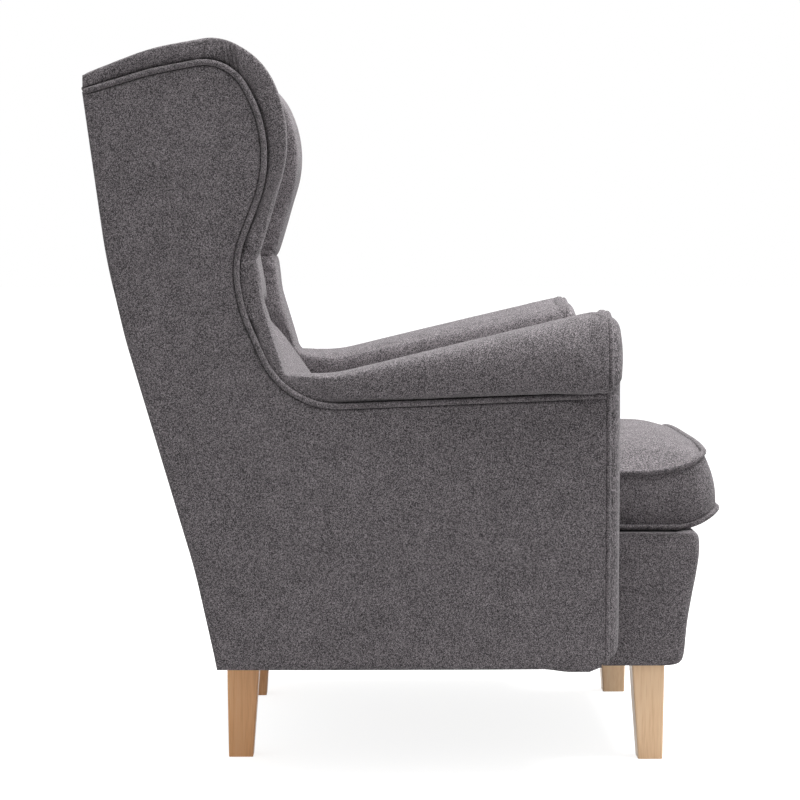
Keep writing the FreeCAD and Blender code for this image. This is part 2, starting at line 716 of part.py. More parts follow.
def back_section(z, face_forward, half_width):
    """Level outline of an inside back pad: straight rear and sides, and a face that is one shallow arc."""
    rear = pad_back_at(z)
    face = rear_y - face_forward
    corners = in_z(z, [(half_width, face + BACK_CROWN), (half_width, rear), (-half_width, rear),
                       (-half_width, face + BACK_CROWN)])
    lines = [Part.makeLine(a, b) for a, b in zip(corners, corners[1:])]
    arc = Part.Arc(corners[3], Vector(0, face, z), corners[0]).toShape()
    return Part.Wire(lines + [arc])


lower_back_half = arm_inner_x - SOFT_CLEARANCE
upper_back_half = wing_inner_x - SOFT_CLEARANCE


def lumbar_pad():
    """Lower inside back, swelling forward under the sewn crease."""
    low = DECK_HEIGHT + SOFT_CLEARANCE
    high = crease_z - SOFT_CLEARANCE
    shoulder_z = high - CREASE_HALF_WIDTH
    slope = (BACK_LOIN_FORWARD - BACK_CREASE_FORWARD) / (crease_z - BACK_LOIN_HEIGHT)
    shoulder = BACK_CREASE_FORWARD + slope * CREASE_HALF_WIDTH
    stations = [(low, BACK_FOOT_FORWARD),
                (mix(low, BACK_LOIN_HEIGHT, 0.6), BACK_FOOT_FORWARD - BACK_FOOT_EASE),
                (BACK_LOIN_HEIGHT, BACK_LOIN_FORWARD), (shoulder_z, shoulder),
                (mix(shoulder_z, high, 0.7), BACK_CREASE_FORWARD),
                (high, BACK_CREASE_FORWARD - CREASE_DEPTH)]
    return loft([back_section(z, forward, lower_back_half) for z, forward in stations])


def inside_back_pad():
    """Upper inside back, between the wings above the neck."""
    low = crease_z + SOFT_CLEARANCE
    neck = NECK_HEIGHT - SOFT_CLEARANCE
    slope = (BACK_CREASE_FORWARD - BACK_TOP_FORWARD) / (top_rail_z - crease_z)

    def forward(z):
        return BACK_CREASE_FORWARD - slope * (z - crease_z)

    middle = mix(NECK_HEIGHT, top_rail_z, 0.5)
    stations = [(low, BACK_CREASE_FORWARD - CREASE_DEPTH, lower_back_half),
                (low + 0.4 * CREASE_HALF_WIDTH, forward(low) - 0.2 * CREASE_DEPTH, lower_back_half),
                (low + CREASE_HALF_WIDTH, forward(low), lower_back_half),
                (neck, forward(neck), lower_back_half),
                (NECK_HEIGHT + SOFT_CLEARANCE, forward(neck), upper_back_half),
                (middle, forward(middle) + BACK_SWELL, upper_back_half),
                (top_rail_z, forward(top_rail_z), upper_back_half)]
    return loft([back_section(z, ahead, half) for z, ahead, half in stations])


def back_top_pad():
    """Padded top of the back between the wings."""
    low = top_rail_z + SOFT_CLEARANCE
    high = OVERALL_HEIGHT - TOP_PAD_DROP
    outline = [(rear_y - BACK_TOP_FORWARD, low), (rear_y - TOP_PAD_FORWARD, mix(low, high, 0.55)),
               (rear_y - BACK_TOP_FORWARD, high), (pad_rear_y, high - TOP_PAD_FALL), (pad_rear_y, low)]
    radii = [0.0, TOP_PAD_ROUND, REAR_TOP_ROUND, REAR_TOP_ROUND / 2, 0.0]
    wire = rounded(in_x(-upper_back_half, outline), radii)
    return prism(wire, Vector(2 * upper_back_half, 0, 0))


def outside_back_panel():
    """Tight cover over the rear of the chair, side to side."""
    outer = rear_points()
    points = outer + [(y - BACK_PANEL_THICKNESS, z) for y, z in reversed(outer)]
    radii = [0.0, REAR_ROUND, REAR_ROUND, 0.0, 0.0, REAR_ROUND - BACK_PANEL_THICKNESS,
             REAR_ROUND - BACK_PANEL_THICKNESS, 0.0]
    return prism(rounded(in_x(-side_x, points), radii), Vector(2 * side_x, 0, 0))


def back_top_welt():
    """Welt along the top edge of the outside back."""
    y = rear_y + REAR_WELT_STAND - welt_radius
    z = rear_points()[-1][1] + welt_gap
    return rod(Vector(-side_x, y, z), Vector(2 * side_x, 0, 0), welt_radius)


# Side upholstery

def side_cover():
    """Tight cover of the flat side, left side."""
    points, radii = side_outline(welt_gap + COVER_EDGE_GAP, BACK_PANEL_THICKNESS + SOFT_CLEARANCE)
    return prism(rounded(in_x(cover_inner_x, points), radii), Vector(SIDE_COVER_THICKNESS, 0, 0))


welt_x = side_x - WELT_SINK


def side_welt():
    """Welt along the edge of the flat side, left side."""
    points, radii = side_points(0.0)
    points[0] = (pad_rear_y, mix(points[0][1], points[1][1], (rear_y - pad_rear_y) / WING_WELT[1][0]))
    points[-1] = (arm_face_y + SOFT_CLEARANCE, points[-1][1])
    return tube(rounded(in_x(welt_x, points), radii, closed=False), welt_radius)


def ply_clearance():
    """Space of the ply side and its cover, a little larger, for cutting the pads that wrap over it."""
    points, radii = side_outline(PLY_EDGE_SETBACK - SOFT_CLEARANCE, 0.0)
    wire = rounded(in_x(ply_inner_x - SOFT_CLEARANCE, points), radii)
    return prism(wire, Vector(side_x - ply_inner_x + 1.0, 0, 0))


def band_sections(inner_x):
    """Stations across a padded band, as x and the share from the welt line to the crest."""
    inner = [(inner_x + ahead, share) for ahead, share in BAND_INNER]
    outer = [(side_x - ahead, share) for ahead, share in BAND_OUTER]
    return inner + outer + [(welt_x - welt_gap, BAND_SEAM_SHARE)]


def wing_pad():
    """Padded wing above the neck, wrapping over the ply edge, left side."""
    low = NECK_HEIGHT + SOFT_CLEARANCE
    shelf = top_rail_z + SOFT_CLEARANCE
    wires = []
    for x, share in band_sections(wing_inner_x):
        points, radii = side_points(share)
        rear_top = (pad_rear_y, points[0][1])
        outline = [rear_top, points[1], points[2], (points[3][0], low), (pad_back_at(low), low),
                   (pad_back_at(shelf), shelf), (pad_rear_y, shelf)]
        rounds = [REAR_TOP_ROUND * share, radii[1], radii[2], 0.0, 0.0, 0.0, 0.0]
        wires.append(rounded(in_x(x, outline), rounds))
    return loft(wires).cut(ply_clearance())


def arm_riser_pad():
    """Padded riser that swoops from the neck to the arm, left side."""
    high = NECK_HEIGHT - SOFT_CLEARANCE
    low = DECK_HEIGHT + SOFT_CLEARANCE
    wires = []
    for x, share in band_sections(arm_inner_x):
        points, radii = side_points(share)
        foot, front = points[5], points[6]
        joint_z = mix(foot[1], front[1], (foot[0] - arm_joint_y) / (foot[0] - front[0]))
        outline = [(points[3][0], high), points[4], foot, (arm_joint_y, joint_z), (arm_joint_y, low),
                   (pad_back_at(low), low), (pad_back_at(high), high)]
        wires.append(rounded(in_x(x, outline), [0.0, radii[4], radii[5], 0.0, 0.0, 0.0, 0.0]))
    return loft(wires).cut(ply_clearance())


def roll_points(y, overhang, lip_height):
    """Corners and radii of the arm's upper outline at y: seam, lip, brow, outer and inner top corners."""
    welt, crest = arm_heights(y)
    seam_z = welt + welt_gap
    lip_x = side_x + overhang
    lip_z = seam_z + ROLL_LIP_RISE
    points = [(side_x, seam_z), (lip_x, lip_z), (lip_x, lip_z + lip_height), (lip_x - ROLL_LEAN, crest),
              (arm_inner_x, crest)]
    return points, [0.0, ROLL_LIP_ROUND, ROLL_BROW_ROUND, ROLL_TOP_ROUND, ROLL_INNER_ROUND]


def arm_pad():
    """Arm pad: inside face, top and rolled outer lip, left side."""
    wires = []
    ends = ((arm_face_y + SOFT_CLEARANCE, ROLL_OVERHANG, ROLL_LIP_HEIGHT),
            (arm_joint_y - SOFT_CLEARANCE, ROLL_OVERHANG_REAR, ROLL_LIP_HEIGHT_REAR))
    for y, overhang, lip_height in ends:
        points, radii = roll_points(y, overhang, lip_height)
        seam_z = points[0][1]
        shelf = board_top(y) + SOFT_CLEARANCE
        low = DECK_HEIGHT + SOFT_CLEARANCE
        panel = arm_panel_x - SOFT_CLEARANCE
        notch = welt_x - welt_gap - WELT_NOTCH
        points += [(arm_inner_x, low), (panel, low), (panel, shelf), (notch, shelf), (notch, seam_z)]
        wires.append(rounded(in_y(y, points), radii + [0.0] * 5))
    return loft(wires)


def arm_front_outline():
    """Closed outline of the arm front: outer foot, side, roll, inner edge, step out past the seat frame."""
    roll, rounds = roll_points(arm_face_y, ROLL_OVERHANG, ROLL_LIP_HEIGHT)
    foot_x = arm_panel_x + SOFT_CLEARANCE
    step_z = DECK_HEIGHT + FACING_STEP_RISE
    foot_z = LEG_HEIGHT + FACING_FOOT_RISE
    points = [(side_x, foot_z)] + roll + [(arm_inner_x, step_z), (foot_x, step_z), (foot_x, foot_z)]
    radii = [FACING_BOTTOM_ROUND, FACING_LIP_ROUND] + rounds[1:]
    return points, radii + [FACING_STEP_ROUND, FACING_STEP_ROUND, FACING_BOTTOM_ROUND]


def arm_front_panel():
    """Puffed facing on the arm front, left side."""
    points, radii = arm_front_outline()
    wires = []
    start = welt_radius + welt_gap
    for depth, taper in ((0.0, 0.0), (FACING_EDGE_DEPTH, 2.0), (0.8 * FACING_CROWN, 0.45 * FACING_TAPER),
                         (FACING_CROWN, FACING_TAPER)):
        moved, rounds = inset(points, radii, [start + taper] * len(points))
        wires.append(rounded(in_y(arm_face_y - depth, moved), rounds))
    return loft(wires)


def arm_front_welt():
    """Welt around the arm front facing, left side."""
    points, radii = arm_front_outline()
    moved, rounds = inset(points, radii, [welt_radius] * len(points))
    return tube(rounded(in_y(arm_face_y - welt_gap, moved), rounds), welt_radius)


def apron():
    """Padded border under the cushion front, wrapping the front corners of the seat frame."""
    back = arm_face_y - FACING_CROWN - 2 * SOFT_CLEARANCE
    inner_x = arm_panel_x + SOFT_CLEARANCE
    inner_y = rail_front_y - SOFT_CLEARANCE
    bottom = LEG_HEIGHT - APRON_BOTTOM_DROP
    wires = []
    for rise, swell in APRON_PROFILE:
        outer_x = inner_x + APRON_THICKNESS * (0.75 + 0.25 * swell)
        outer_y = inner_y - APRON_THICKNESS - APRON_CROWN * swell
        outline = [(-outer_x, back), (-outer_x, outer_y), (outer_x, outer_y), (outer_x, back),
                   (inner_x, back), (inner_x, inner_y), (-inner_x, inner_y), (-inner_x, back)]
        level = in_z(mix(bottom, DECK_HEIGHT, rise), outline)
        wires.append(rounded(level, [0.0, APRON_CORNER, APRON_CORNER, 0.0, 0.0, 0.0, 0.0, 0.0]))
    return loft(wires)


# Seat cushion

cushion_half = arm_inner_x - CUSHION_SIDE_CLEARANCE
seam_inset = WELT_DIAMETER + CUSHION_WELT_GAP
lower_welt_z = DECK_HEIGHT + CUSHION_UNDERSIDE
upper_welt_z = lower_welt_z + CUSHION_BOXING
crown_z = upper_welt_z + CUSHION_CROWN


def cushion_wire(z, edge, draw):
    """Level outline of the cushion set in by edge, its sides pulled in by draw at their middles."""
    lean = CUSHION_FRONT_LEAN * min(max((z - lower_welt_z) / CUSHION_BOXING, 0.0), 1.0)
    half = cushion_half - edge
    near = front_y + lean + edge
    far = front_y + CUSHION_LENGTH - edge
    middle = (near + far) / 2
    points = [(half, near), (half - draw, middle), (half, far), (0.0, far - draw), (-half, far),
              (-half + draw, middle), (-half, near), (0.0, near + draw)]
    corner = CUSHION_CORNER + CUSHION_CROWN_ROUNDING * max(edge - seam_inset, 0.0)
    return rounded(in_z(z, points), [corner, CUSHION_SIDE_BEND] * 4)


def cushion_form(wall):
    """Crowned cushion, wall inside its outer face."""
    boxing = seam_inset - CUSHION_SWELL
    middle_z = (lower_welt_z + upper_welt_z) / 2
    low = DECK_HEIGHT + wall
    stations = [(mix(low, lower_welt_z, rise), edge, CUSHION_FLAT_DRAW) for rise, edge in CUSHION_BELLY]
    stations += [(lower_welt_z, seam_inset, CUSHION_DRAW_IN),
                 (mix(lower_welt_z, middle_z, 0.4), boxing + CUSHION_SWELL / 2, CUSHION_DRAW_IN / 2),
                 (middle_z, boxing, CUSHION_DRAW_IN / 4),
                 (mix(upper_welt_z, middle_z, 0.4), boxing + CUSHION_SWELL / 2, CUSHION_DRAW_IN / 2),
                 (upper_welt_z, seam_inset, CUSHION_DRAW_IN)]
    for rise, edge in CUSHION_DOME:
        stations.append((mix(upper_welt_z, crown_z - wall, rise), edge, CUSHION_FLAT_DRAW))
    return loft([cushion_wire(z, edge + wall, draw) for z, edge, draw in stations])


def seat_cushion_cover():
    """Sewn cover of the loose cushion."""
    return cushion_form(0.0).cut(cushion_form(CUSHION_COVER_THICKNESS))


def seat_cushion_foam():
    """Foam core inside the cover."""
    return cushion_form(CUSHION_COVER_THICKNESS + SOFT_CLEARANCE)


def cushion_welt(z):
    """Welt around the cushion at one of its two seams."""
    return tube(cushion_wire(z, welt_radius, CUSHION_DRAW_IN), welt_radius)


def cushion_welt_top():
    """Upper welt of the cushion."""
    return cushion_welt(upper_welt_z)


def cushion_welt_bottom():
    """Lower welt of the cushion."""
    return cushion_welt(lower_welt_z)


# Export

PAIRED = (side_frame, arm_inner_panel, arm_front_post, arm_rear_post, arm_top_board, seat_side_rail,
          side_cover, side_welt, wing_pad, arm_riser_pad, arm_pad, arm_front_panel, arm_front_welt)
SINGLE = (seat_front_rail, seat_rear_rail, base_rear_rail, back_top_rail, back_lumbar_rail, corner_blocks,
          corner_block_screws, leg_inserts, leg_bolts, seat_springs, spring_clips, deck_felt, deck_pad,
          dust_cover, back_webbing, lumbar_pad, inside_back_pad, back_top_pad, outside_back_panel,
          back_top_welt, apron, seat_cushion_cover, seat_cushion_foam, cushion_welt_top, cushion_welt_bottom)


def main():
    os.makedirs("parts", exist_ok=True)
    pieces = {}
    for make in PAIRED:
        pieces[make.__name__ + "_l"] = make()
        pieces[make.__name__ + "_r"] = mirrored(pieces[make.__name__ + "_l"])
    for name, corner in zip(("front_leg", "rear_leg"), leg_tops()):
        pieces[name + "_l"] = leg(corner)
        pieces[name + "_r"] = mirrored(pieces[name + "_l"])
    for make in SINGLE:
        pieces[make.__name__] = make()
    for name, shape in pieces.items():
        shape.exportStep("parts/" + name + ".step")


main()
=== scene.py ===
"""Upholstery, finishes, light and camera of a wingback armchair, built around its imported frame."""
import json
import math

import bpy
import numpy as np
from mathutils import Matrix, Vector


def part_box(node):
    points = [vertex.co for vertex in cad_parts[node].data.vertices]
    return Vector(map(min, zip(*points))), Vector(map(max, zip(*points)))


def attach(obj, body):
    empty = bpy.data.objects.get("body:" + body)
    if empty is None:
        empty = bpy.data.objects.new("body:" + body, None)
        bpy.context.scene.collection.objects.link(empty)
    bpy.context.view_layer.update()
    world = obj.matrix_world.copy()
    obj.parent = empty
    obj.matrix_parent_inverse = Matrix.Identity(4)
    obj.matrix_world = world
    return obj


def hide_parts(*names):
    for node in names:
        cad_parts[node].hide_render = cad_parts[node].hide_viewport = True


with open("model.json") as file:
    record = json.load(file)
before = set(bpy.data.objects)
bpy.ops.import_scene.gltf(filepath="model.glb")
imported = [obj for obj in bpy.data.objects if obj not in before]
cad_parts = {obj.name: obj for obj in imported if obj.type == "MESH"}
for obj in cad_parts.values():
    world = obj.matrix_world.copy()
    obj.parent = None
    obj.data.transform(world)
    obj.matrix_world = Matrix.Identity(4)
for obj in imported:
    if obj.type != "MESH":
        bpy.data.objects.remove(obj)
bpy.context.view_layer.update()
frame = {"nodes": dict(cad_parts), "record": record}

# Sizes, in metres. X runs across the chair, it faces -Y, and Z is up from the floor.
WELT_RADIUS = 0.0041
COVER_THICKNESS = 0.0025
FIT_GAP = 0.0003                 # gap that the frame leaves beside a soft piece
SEAM_START = 1.1 * WELT_RADIUS   # from the middle of a welt to its cover's edge
SEAM_SINK = 0.0057               # how far a flat cover is drawn in at its seams
SEAM_ROUND = 0.0028              # width over which a cover sinks beside its welt
SIDE_PUFF = 0.0025               # how far the flat sides stand proud of their seams' plane
SIDE_PUFF_REACH = 0.16           # and how far from the seams they do so in full
SIDE_RAISE = 0.0018              # cloth of the flat sides above their padding
SIDE_FOOT_ROUND = 0.017
SIDE_FOOT_RUN = 0.02             # foot of the sides that belongs to their front edge
SIDE_FOOT_FADE = 0.03            # height above the foot over which the sides' seams begin
SIDE_FOOT_DIP = 0.004            # fabric gathered under the sides' front corners hangs lower
SIDE_DIP_HEIGHT = 0.05           # height of that stretch, its length and its soft end
SIDE_DIP_LENGTH = 0.085
SIDE_DIP_EASE = 0.04
FACING_CROWN = 0.0245            # swell of the arm fronts
FACING_EDGE_ROUND = 0.016        # width of the rounded rim of an arm front
FACING_RIM_SHARE = 0.75          # share of the swell that the rim takes
FACING_SWELL_REACH = 0.05        # distance from the rim over which the rest follows
FACING_RIM_START = 1.6 * WELT_RADIUS
FACING_STANDOFF = 0.001          # rim in front of the frame
FACING_RETURN = 0.014            # the facing's cloth turns back this far behind its edge
FACING_RETURN_INSET = 0.003
FACING_CORNER = 0.004
FACING_STEP_ROUND = 0.003
FACING_STEP_GAP = 0.001          # step of the inner edge above the deck
FACING_STEP_RUN = 0.01           # least straight stretch above that step
FACING_FOOT_RISE = 0.005         # outer foot of the arm fronts above the foot of the sides
BACK_CROWN = 0.016               # fall of the inside back from its middle to its sides
BACK_TUCK = 0.020                # the last of that fall, close to the wings
BACK_TUCK_POWER = 14             # the higher, the closer to the wings
BACK_OVERLAP = 0.014             # how far the inside back runs on behind the wings and arms
BACK_TOP_LEVEL = 0.16            # reach in front of the rear welt where the back's top goes over to level
BACK_CREASE_REACH = 0.04         # reach from the crease where the sides fall straight back
OUTER_BACK_PUFF = 0.004          # how far the outside back stands proud of its edges
OUTER_BACK_PROUD = 0.0015        # its folded edges outside the flat sides
OUTER_BACK_WRAP = 0.007          # how far it folds round onto the sides
OUTER_BACK_WRAP_ROUND = 0.004
OUTER_BACK_FOLD = 0.04           # flat stretch beside each folded edge
APRON_CROWN = 0.0195
APRON_CORNER = 0.014
APRON_STANDOFF = 0.0053          # apron's flat face in front of its rail
APRON_SIDE = 0.005               # apron's side outside the frame, where it swells in full
APRON_RETURN_GAP = 0.009         # ends of its sides in front of the arm fronts
DECK_OVERLAP = 0.004             # how far the deck's cover is tucked under its neighbours
DECK_WIDENING = 0.010            # deck is wider in front of a line this far before the arm fronts
DECK_EDGE = 0.004                # edge of the deck's cover above the underside of its pad
DECK_EDGE_POWER = 40             # the higher, the sharper the deck's edge
DUST_CLOTH_INSET = 0.012         # dust cloth's folded edge inside the edge of the frame
DUST_CLOTH_SAG = 0.002
DUST_CLOTH_THICKNESS = 0.001
CUSHION_BOXING_SWELL = 0.0055
CUSHION_CORNER = 0.037
CUSHION_DRAW_IN = 0.004
CUSHION_LEAN = 0.0195            # upper seam behind the lower one at the front
CUSHION_SEAM_INSET = 0.0055      # seams inside the outer faces of the welts
CUSHION_CROWN_POWERS = (8.0, 2.5)  # fullness of the crown from front to back and from side to side
CUSHION_LIFT = 0.025             # how far the seams climb at the cushion's front
CUSHION_UPPER_REACH = 0.12       # and how far back the climb starts
CUSHION_LOWER_REACH = 0.07
CUSHION_LOWER_SAG = 0.004        # lower seam below the middle of its height in the frame
CUSHION_FRONT_ARCH = 0.011       # middle of the front's upper seam above its corners
CUSHION_FRONT_BOW = 0.005        # front corners behind the middle of the front
CUSHION_START = 0.004            # crown's top below its full height before the padding fills it
CUSHION_HOLLOW = 0.006           # fall of the crown behind the front, where a sitter has pressed it
CUSHION_HOLLOW_START = 0.06      # where that fall starts behind the front, and the length that it takes
CUSHION_HOLLOW_LENGTH = 0.12

# Places read from the frame
side_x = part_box("side_cover_l")[1].x
base_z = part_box("side_cover_l")[0].z
arm_inner_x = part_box("arm_pad_l")[0].x
wing_inner_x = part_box("wing_pad_l")[0].x
arm_face_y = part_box("arm_front_panel_l")[1].y
arm_joint_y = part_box("arm_pad_l")[1].y
arm_panel_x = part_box("arm_inner_panel_l")[0].x
deck_low, deck_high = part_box("deck_pad")
rear_welt_low, rear_welt_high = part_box("back_top_welt")
cushion_low, cushion_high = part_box("seat_cushion_cover")
lower_welt_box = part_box("cushion_welt_bottom")
upper_welt_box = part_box("cushion_welt_top")
apron_foot_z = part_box("apron")[0].z
rail_front_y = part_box("seat_front_rail")[0].y
dust_low, dust_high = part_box("dust_cover")

# Side edges from rear top to arm front, as (y, z) corners, and the radii of the corners between the ends.
# The three lines have corners that match, so some of them lie on straight runs with next to no radius.
WELT_EDGE = ((0.4445, 0.937), (0.354, 0.964), (0.2503, 0.984), (0.2272, 0.9443), (0.1825, 0.8673),
             (0.2435, 0.709), (0.2320, 0.642), (0.1745, 0.510), (0.0945, 0.5132), (-0.2615, 0.5275))
WELT_ROUNDS = (0.300, 0.064, 0.001, 0.185, 0.130, 0.180, 0.112, 0.001)
CREST_EDGE = ((0.4445, 0.9597), (0.352, 0.9945), (0.2600, 1.0115), (0.2020, 0.9795), (0.1615, 0.8850),
              (0.2125, 0.7125), (0.2060, 0.658), (0.1750, 0.5560), (0.1120, 0.5535), (-0.2615, 0.6460))
CREST_ROUNDS = (0.300, 0.070, 0.100, 0.180, 0.020, 0.120, 0.012, 0.200)
# Line where the inner faces end, behind the back's pads and below the cushion
ROOT_EDGE = ((0.430, 0.930), (0.365, 0.935), (0.300, 0.935), (0.297, 0.890), (0.290, 0.850), (0.265, 0.7125),
             (0.255, 0.640), (0.165, 0.325), (0.080, 0.318), (-0.2615, 0.312))
ROOT_ROUNDS = (0.100, 0.020, 0.050, 0.050, 0.100, 0.100, 0.050, 0.001)
REAR_EDGE = ((0.2685, 0.152), (0.2985, 0.290), (0.3900, 0.604), (0.4155, 0.715), (0.4455, 0.937))
REAR_ROUNDS = (0.8, 0.6, 0.8)
# Corners of the welt line that the side's rows are led to, and the heights on the rear edge that face them,
# from the foot to the rear top
SIDE_CORNERS = (9, 7, 6, 5, 4, 2)
SIDE_STATIONS = (0.152, 0.40, 0.52, 0.62, 0.70, 0.83, 0.915, 0.937)
NECK_Z = 0.7125
BACK_WIDENING_Z = 0.60           # inside back widens from here up to the neck
# Points of a section over the side, for the plain band and the rolled arm: distance in from the flat side
# or the inner face, and share of the way from welt to crest
BAND_OUTER = ((0.010, 0.07), (0.006, 0.13), (-0.0015, 0.18), (-0.001, 0.70), (-0.0005, 0.96), (0.003, 1.01),
              (0.022, 1.005))
BAND_INNER = ((0.022, 0.93), (0.004, 0.87), (0.0, 0.70))
ROLL_OUTER = ((0.003, 0.045), (-0.020, 0.025), (-0.0375, 0.055), (-0.0375, 0.28), (-0.033, 0.56),
              (-0.015, 0.90), (0.022, 1.008))
ROLL_INNER = ((0.055, 0.94), (0.008, 0.86), (0.0, 0.65))
ROOT_SHARES = (0.35, 1.0)        # places of the last two points between there and the root
ROLL_LEAD = 0.06                 # the arm's roll starts this far behind the arm's joint
ARM_BLEND = 0.17                 # share of the edge where the wing's inner face goes over to the arm's
NECK_PINCH = 0.0015              # how far the neck seam draws the padding down
NECK_NARROWING = 0.03            # share of its width by which that seam draws the padding in
NECK_REACH = 0.006               # reach of that seam along the edge
# Small gathers where the band's cover is eased round the top of the wing, as places in y
GATHERS = (0.2843, 0.2543, 0.2462, 0.2402, 0.2340)
GATHER_WIDTH = 0.0020
GATHER_DEPTH = 0.0055
GATHER_FADE = 0.6                # share of the way to the crest over which they fade
# Inside back, middle line from its crease up and over to the rear welt, and the lower part from the deck up
UPPER_BACK = ((0.2370, 0.6290), (0.2180, 0.6330), (0.2330, 0.7125), (0.2440, 0.820), (0.2630, 0.925),
              (0.2470, 0.968), (0.2600, 1.003), (0.4380, 0.9630), (0.4400, 0.9400))
UPPER_BACK_ROUNDS = (0.012, 0.40, 0.60, 0.10, 0.05, 0.040, 0.018)
LOWER_BACK = ((0.0925, 0.3260), (0.0965, 0.414), (0.1145, 0.473), (0.2130, 0.6140), (0.2370, 0.6275))
LOWER_BACK_ROUNDS = (0.30, 0.16, 0.018)


# Curves and surfaces

def rounded_path(corners, radii, steps=24):
    """Path of straight runs joined by tangent arcs, which shrink where the runs are too short for them.

    An arc is the rational quadratic curve between its tangent points, with the corner weighted by the sine of
    half the corner's angle.
    """
    corners = np.array(corners, float)
    runs = np.diff(corners, axis=0)
    lengths = np.linalg.norm(runs, axis=1)
    ways = runs / lengths[:, None]
    half = np.arccos(np.clip(-(ways[:-1] * ways[1:]).sum(axis=1), -1.0, 1.0)) / 2
    reach = np.concatenate(([0.0], np.array(radii) / np.tan(half), [0.0]))
    room = np.minimum(1.0, 0.96 * lengths / np.maximum(reach[:-1] + reach[1:], 1e-9))
    reach = reach[1:-1] * np.minimum(room[:-1], room[1:])
    starts = corners[1:-1] - ways[:-1] * reach[:, None]
    ends = corners[1:-1] + ways[1:] * reach[:, None]
    share = np.linspace(0.0, 1.0, steps)[:, None, None]
    pull = 2 * share * (1 - share) * np.sin(half)[:, None]
    total = (1 - share) ** 2 + pull + share ** 2
    arcs = ((1 - share) ** 2 * starts + pull * corners[1:-1] + share ** 2 * ends) / total
    arcs = arcs.transpose(1, 0, 2).reshape(-1, corners.shape[1])
    return np.concatenate((corners[:1], arcs, corners[-1:]))


def distance_along(path):
    """Length of a path from its start to each of its points."""
    return np.concatenate(([0.0], np.cumsum(np.linalg.norm(np.diff(path, axis=0), axis=1))))


def read_path(path, along, places):
    """Points of a path at given places, where along gives the place of each point it has."""
    return np.stack([np.interp(places, along, axis) for axis in path.T], axis=1)


def even_paths(paths, count):
    """Paths with matching points, each read at count even steps of their mean length."""
    along = distance_along(np.mean(paths, axis=0))
    return [read_path(path, along, np.linspace(0.0, along[-1], count)) for path in paths]


def eased(path, passes):
    """Path whose bends are spread: each pass averages the inner points with their neighbours."""
    for _ in range(passes):
        path[1:-1] = 0.25 * path[:-2] + 0.5 * path[1:-1] + 0.25 * path[2:]
    return path


def spline_basis(controls, count):
    """Weights of a clamped cubic B-spline: a row for each of count points, a column for each control."""
    degree = 3
    inner_knots = np.linspace(0.0, 1.0, controls - degree + 1)
    knots = np.concatenate((np.zeros(degree), inner_knots, np.ones(degree)))
    places = np.linspace(0.0, 1.0 - 1e-9, count)[:, None]
    basis = ((places >= knots[:-1]) & (places < knots[1:])).astype(float)
    for order in range(1, degree + 1):
        rise = knots[order:-1] - knots[:-order - 1]
        fall = knots[order + 1:] - knots[1:-order]
        up = (places - knots[:-order - 1]) / np.where(rise > 0, rise, 1.0)
        down = (knots[order + 1:] - places) / np.where(fall > 0, fall, 1.0)
        basis = up * basis[:, :-1] + down * basis[:, 1:]
    return basis


def smooth_step(value):
    """Rise from 0 to 1 with level ends."""
    value = np.clip(value, 0.0, 1.0)
    return value * value * (3 - 2 * value)


def crowded_ends(count):
    """Places from 0 to 1 that lie closer together towards both ends, along a half turn's cosine."""
    return 0.5 - 0.5 * np.cos(np.pi * np.linspace(0.0, 1.0, count))


def edge_distance(points, edge):
    """Distance from each point of a flat grid to the nearest point of an edge."""
    flat = points.reshape(-1, 1, 2)
    return np.sqrt(((flat - edge[None]) ** 2).sum(axis=2).min(axis=1)).reshape(points.shape[:2])


def quarter_round(distance, width):
    """Rise from 0 to 1 along a quarter circle as the distance from the edge goes from 0 to width."""
    share = np.clip(distance / width, 0.0, 1.0)
    return np.sqrt(1 - (1 - share) ** 2)


def unit_rings(ahead, normal, sides=14):
    """Circles across a path, each a full turn between the path's side direction and the normal."""
    normal = np.array(normal, float)
    across = np.cross(ahead, normal)
    across /= np.linalg.norm(across, axis=1)[:, None]
    angle = np.linspace(0.0, 2 * np.pi, sides, endpoint=False)
    return np.cos(angle)[None, :, None] * across[:, None] + np.sin(angle)[None, :, None] * normal


def tube(path, plane_normal, radius):
    """Round cord along a flat path: circles of the radius, shrinking to a point at both ends."""
    size = np.full(len(path), radius)
    size[:3] = size[-3:][::-1] = radius * np.array((0.0, 0.6, 0.9))
    return path[:, None] + size[:, None, None] * unit_rings(np.gradient(path, axis=0), plane_normal)


def loop_tube(path, radius):
    """Round cord along a closed level path: circles of the radius."""
    ahead = np.roll(path, -1, axis=0) - np.roll(path, 1, axis=0)
    return path[:, None] + radius * unit_rings(ahead, (0.0, 0.0, 1.0))


# Meshes

def grid_quads(rows, columns, close_rows, close_columns):
    """Corner numbers of a grid's quads; a closed grid has its first row or column again at its end."""
    index = np.arange((rows + close_rows) * (columns + close_columns)).reshape(rows + close_rows, -1)
    corners = (index[:-1, :-1], index[1:, :-1], index[1:, 1:], index[:-1, 1:])
    return np.stack(corners, axis=-1).reshape(-1, 4)


def grid_part(points, close_rows=False, close_columns=False, uv=None):
    """Vertices, quads and corner UVs of a grid; its UVs are metres along its rows and columns."""
    rows, columns = points.shape[:2]
    full = np.concatenate((points, points[:1]), axis=0) if close_rows else points
    full = np.concatenate((full, full[:, :1]), axis=1) if close_columns else full
    if uv is None:
        down = np.linalg.norm(np.diff(full, axis=0), axis=2).mean(axis=1)
        over = np.linalg.norm(np.diff(full, axis=1), axis=2)
        u = np.concatenate(([0.0], np.cumsum(down)))[:, None] * np.ones(full.shape[1])
        v = np.concatenate((np.zeros((len(full), 1)), np.cumsum(over, axis=1)), axis=1)
        uv = np.stack((u, v - v[:, -1:] / 2), axis=-1)
    quads = grid_quads(rows, columns, close_rows, close_columns)
    return full.reshape(-1, 3), quads, uv.reshape(-1, 2)[quads]


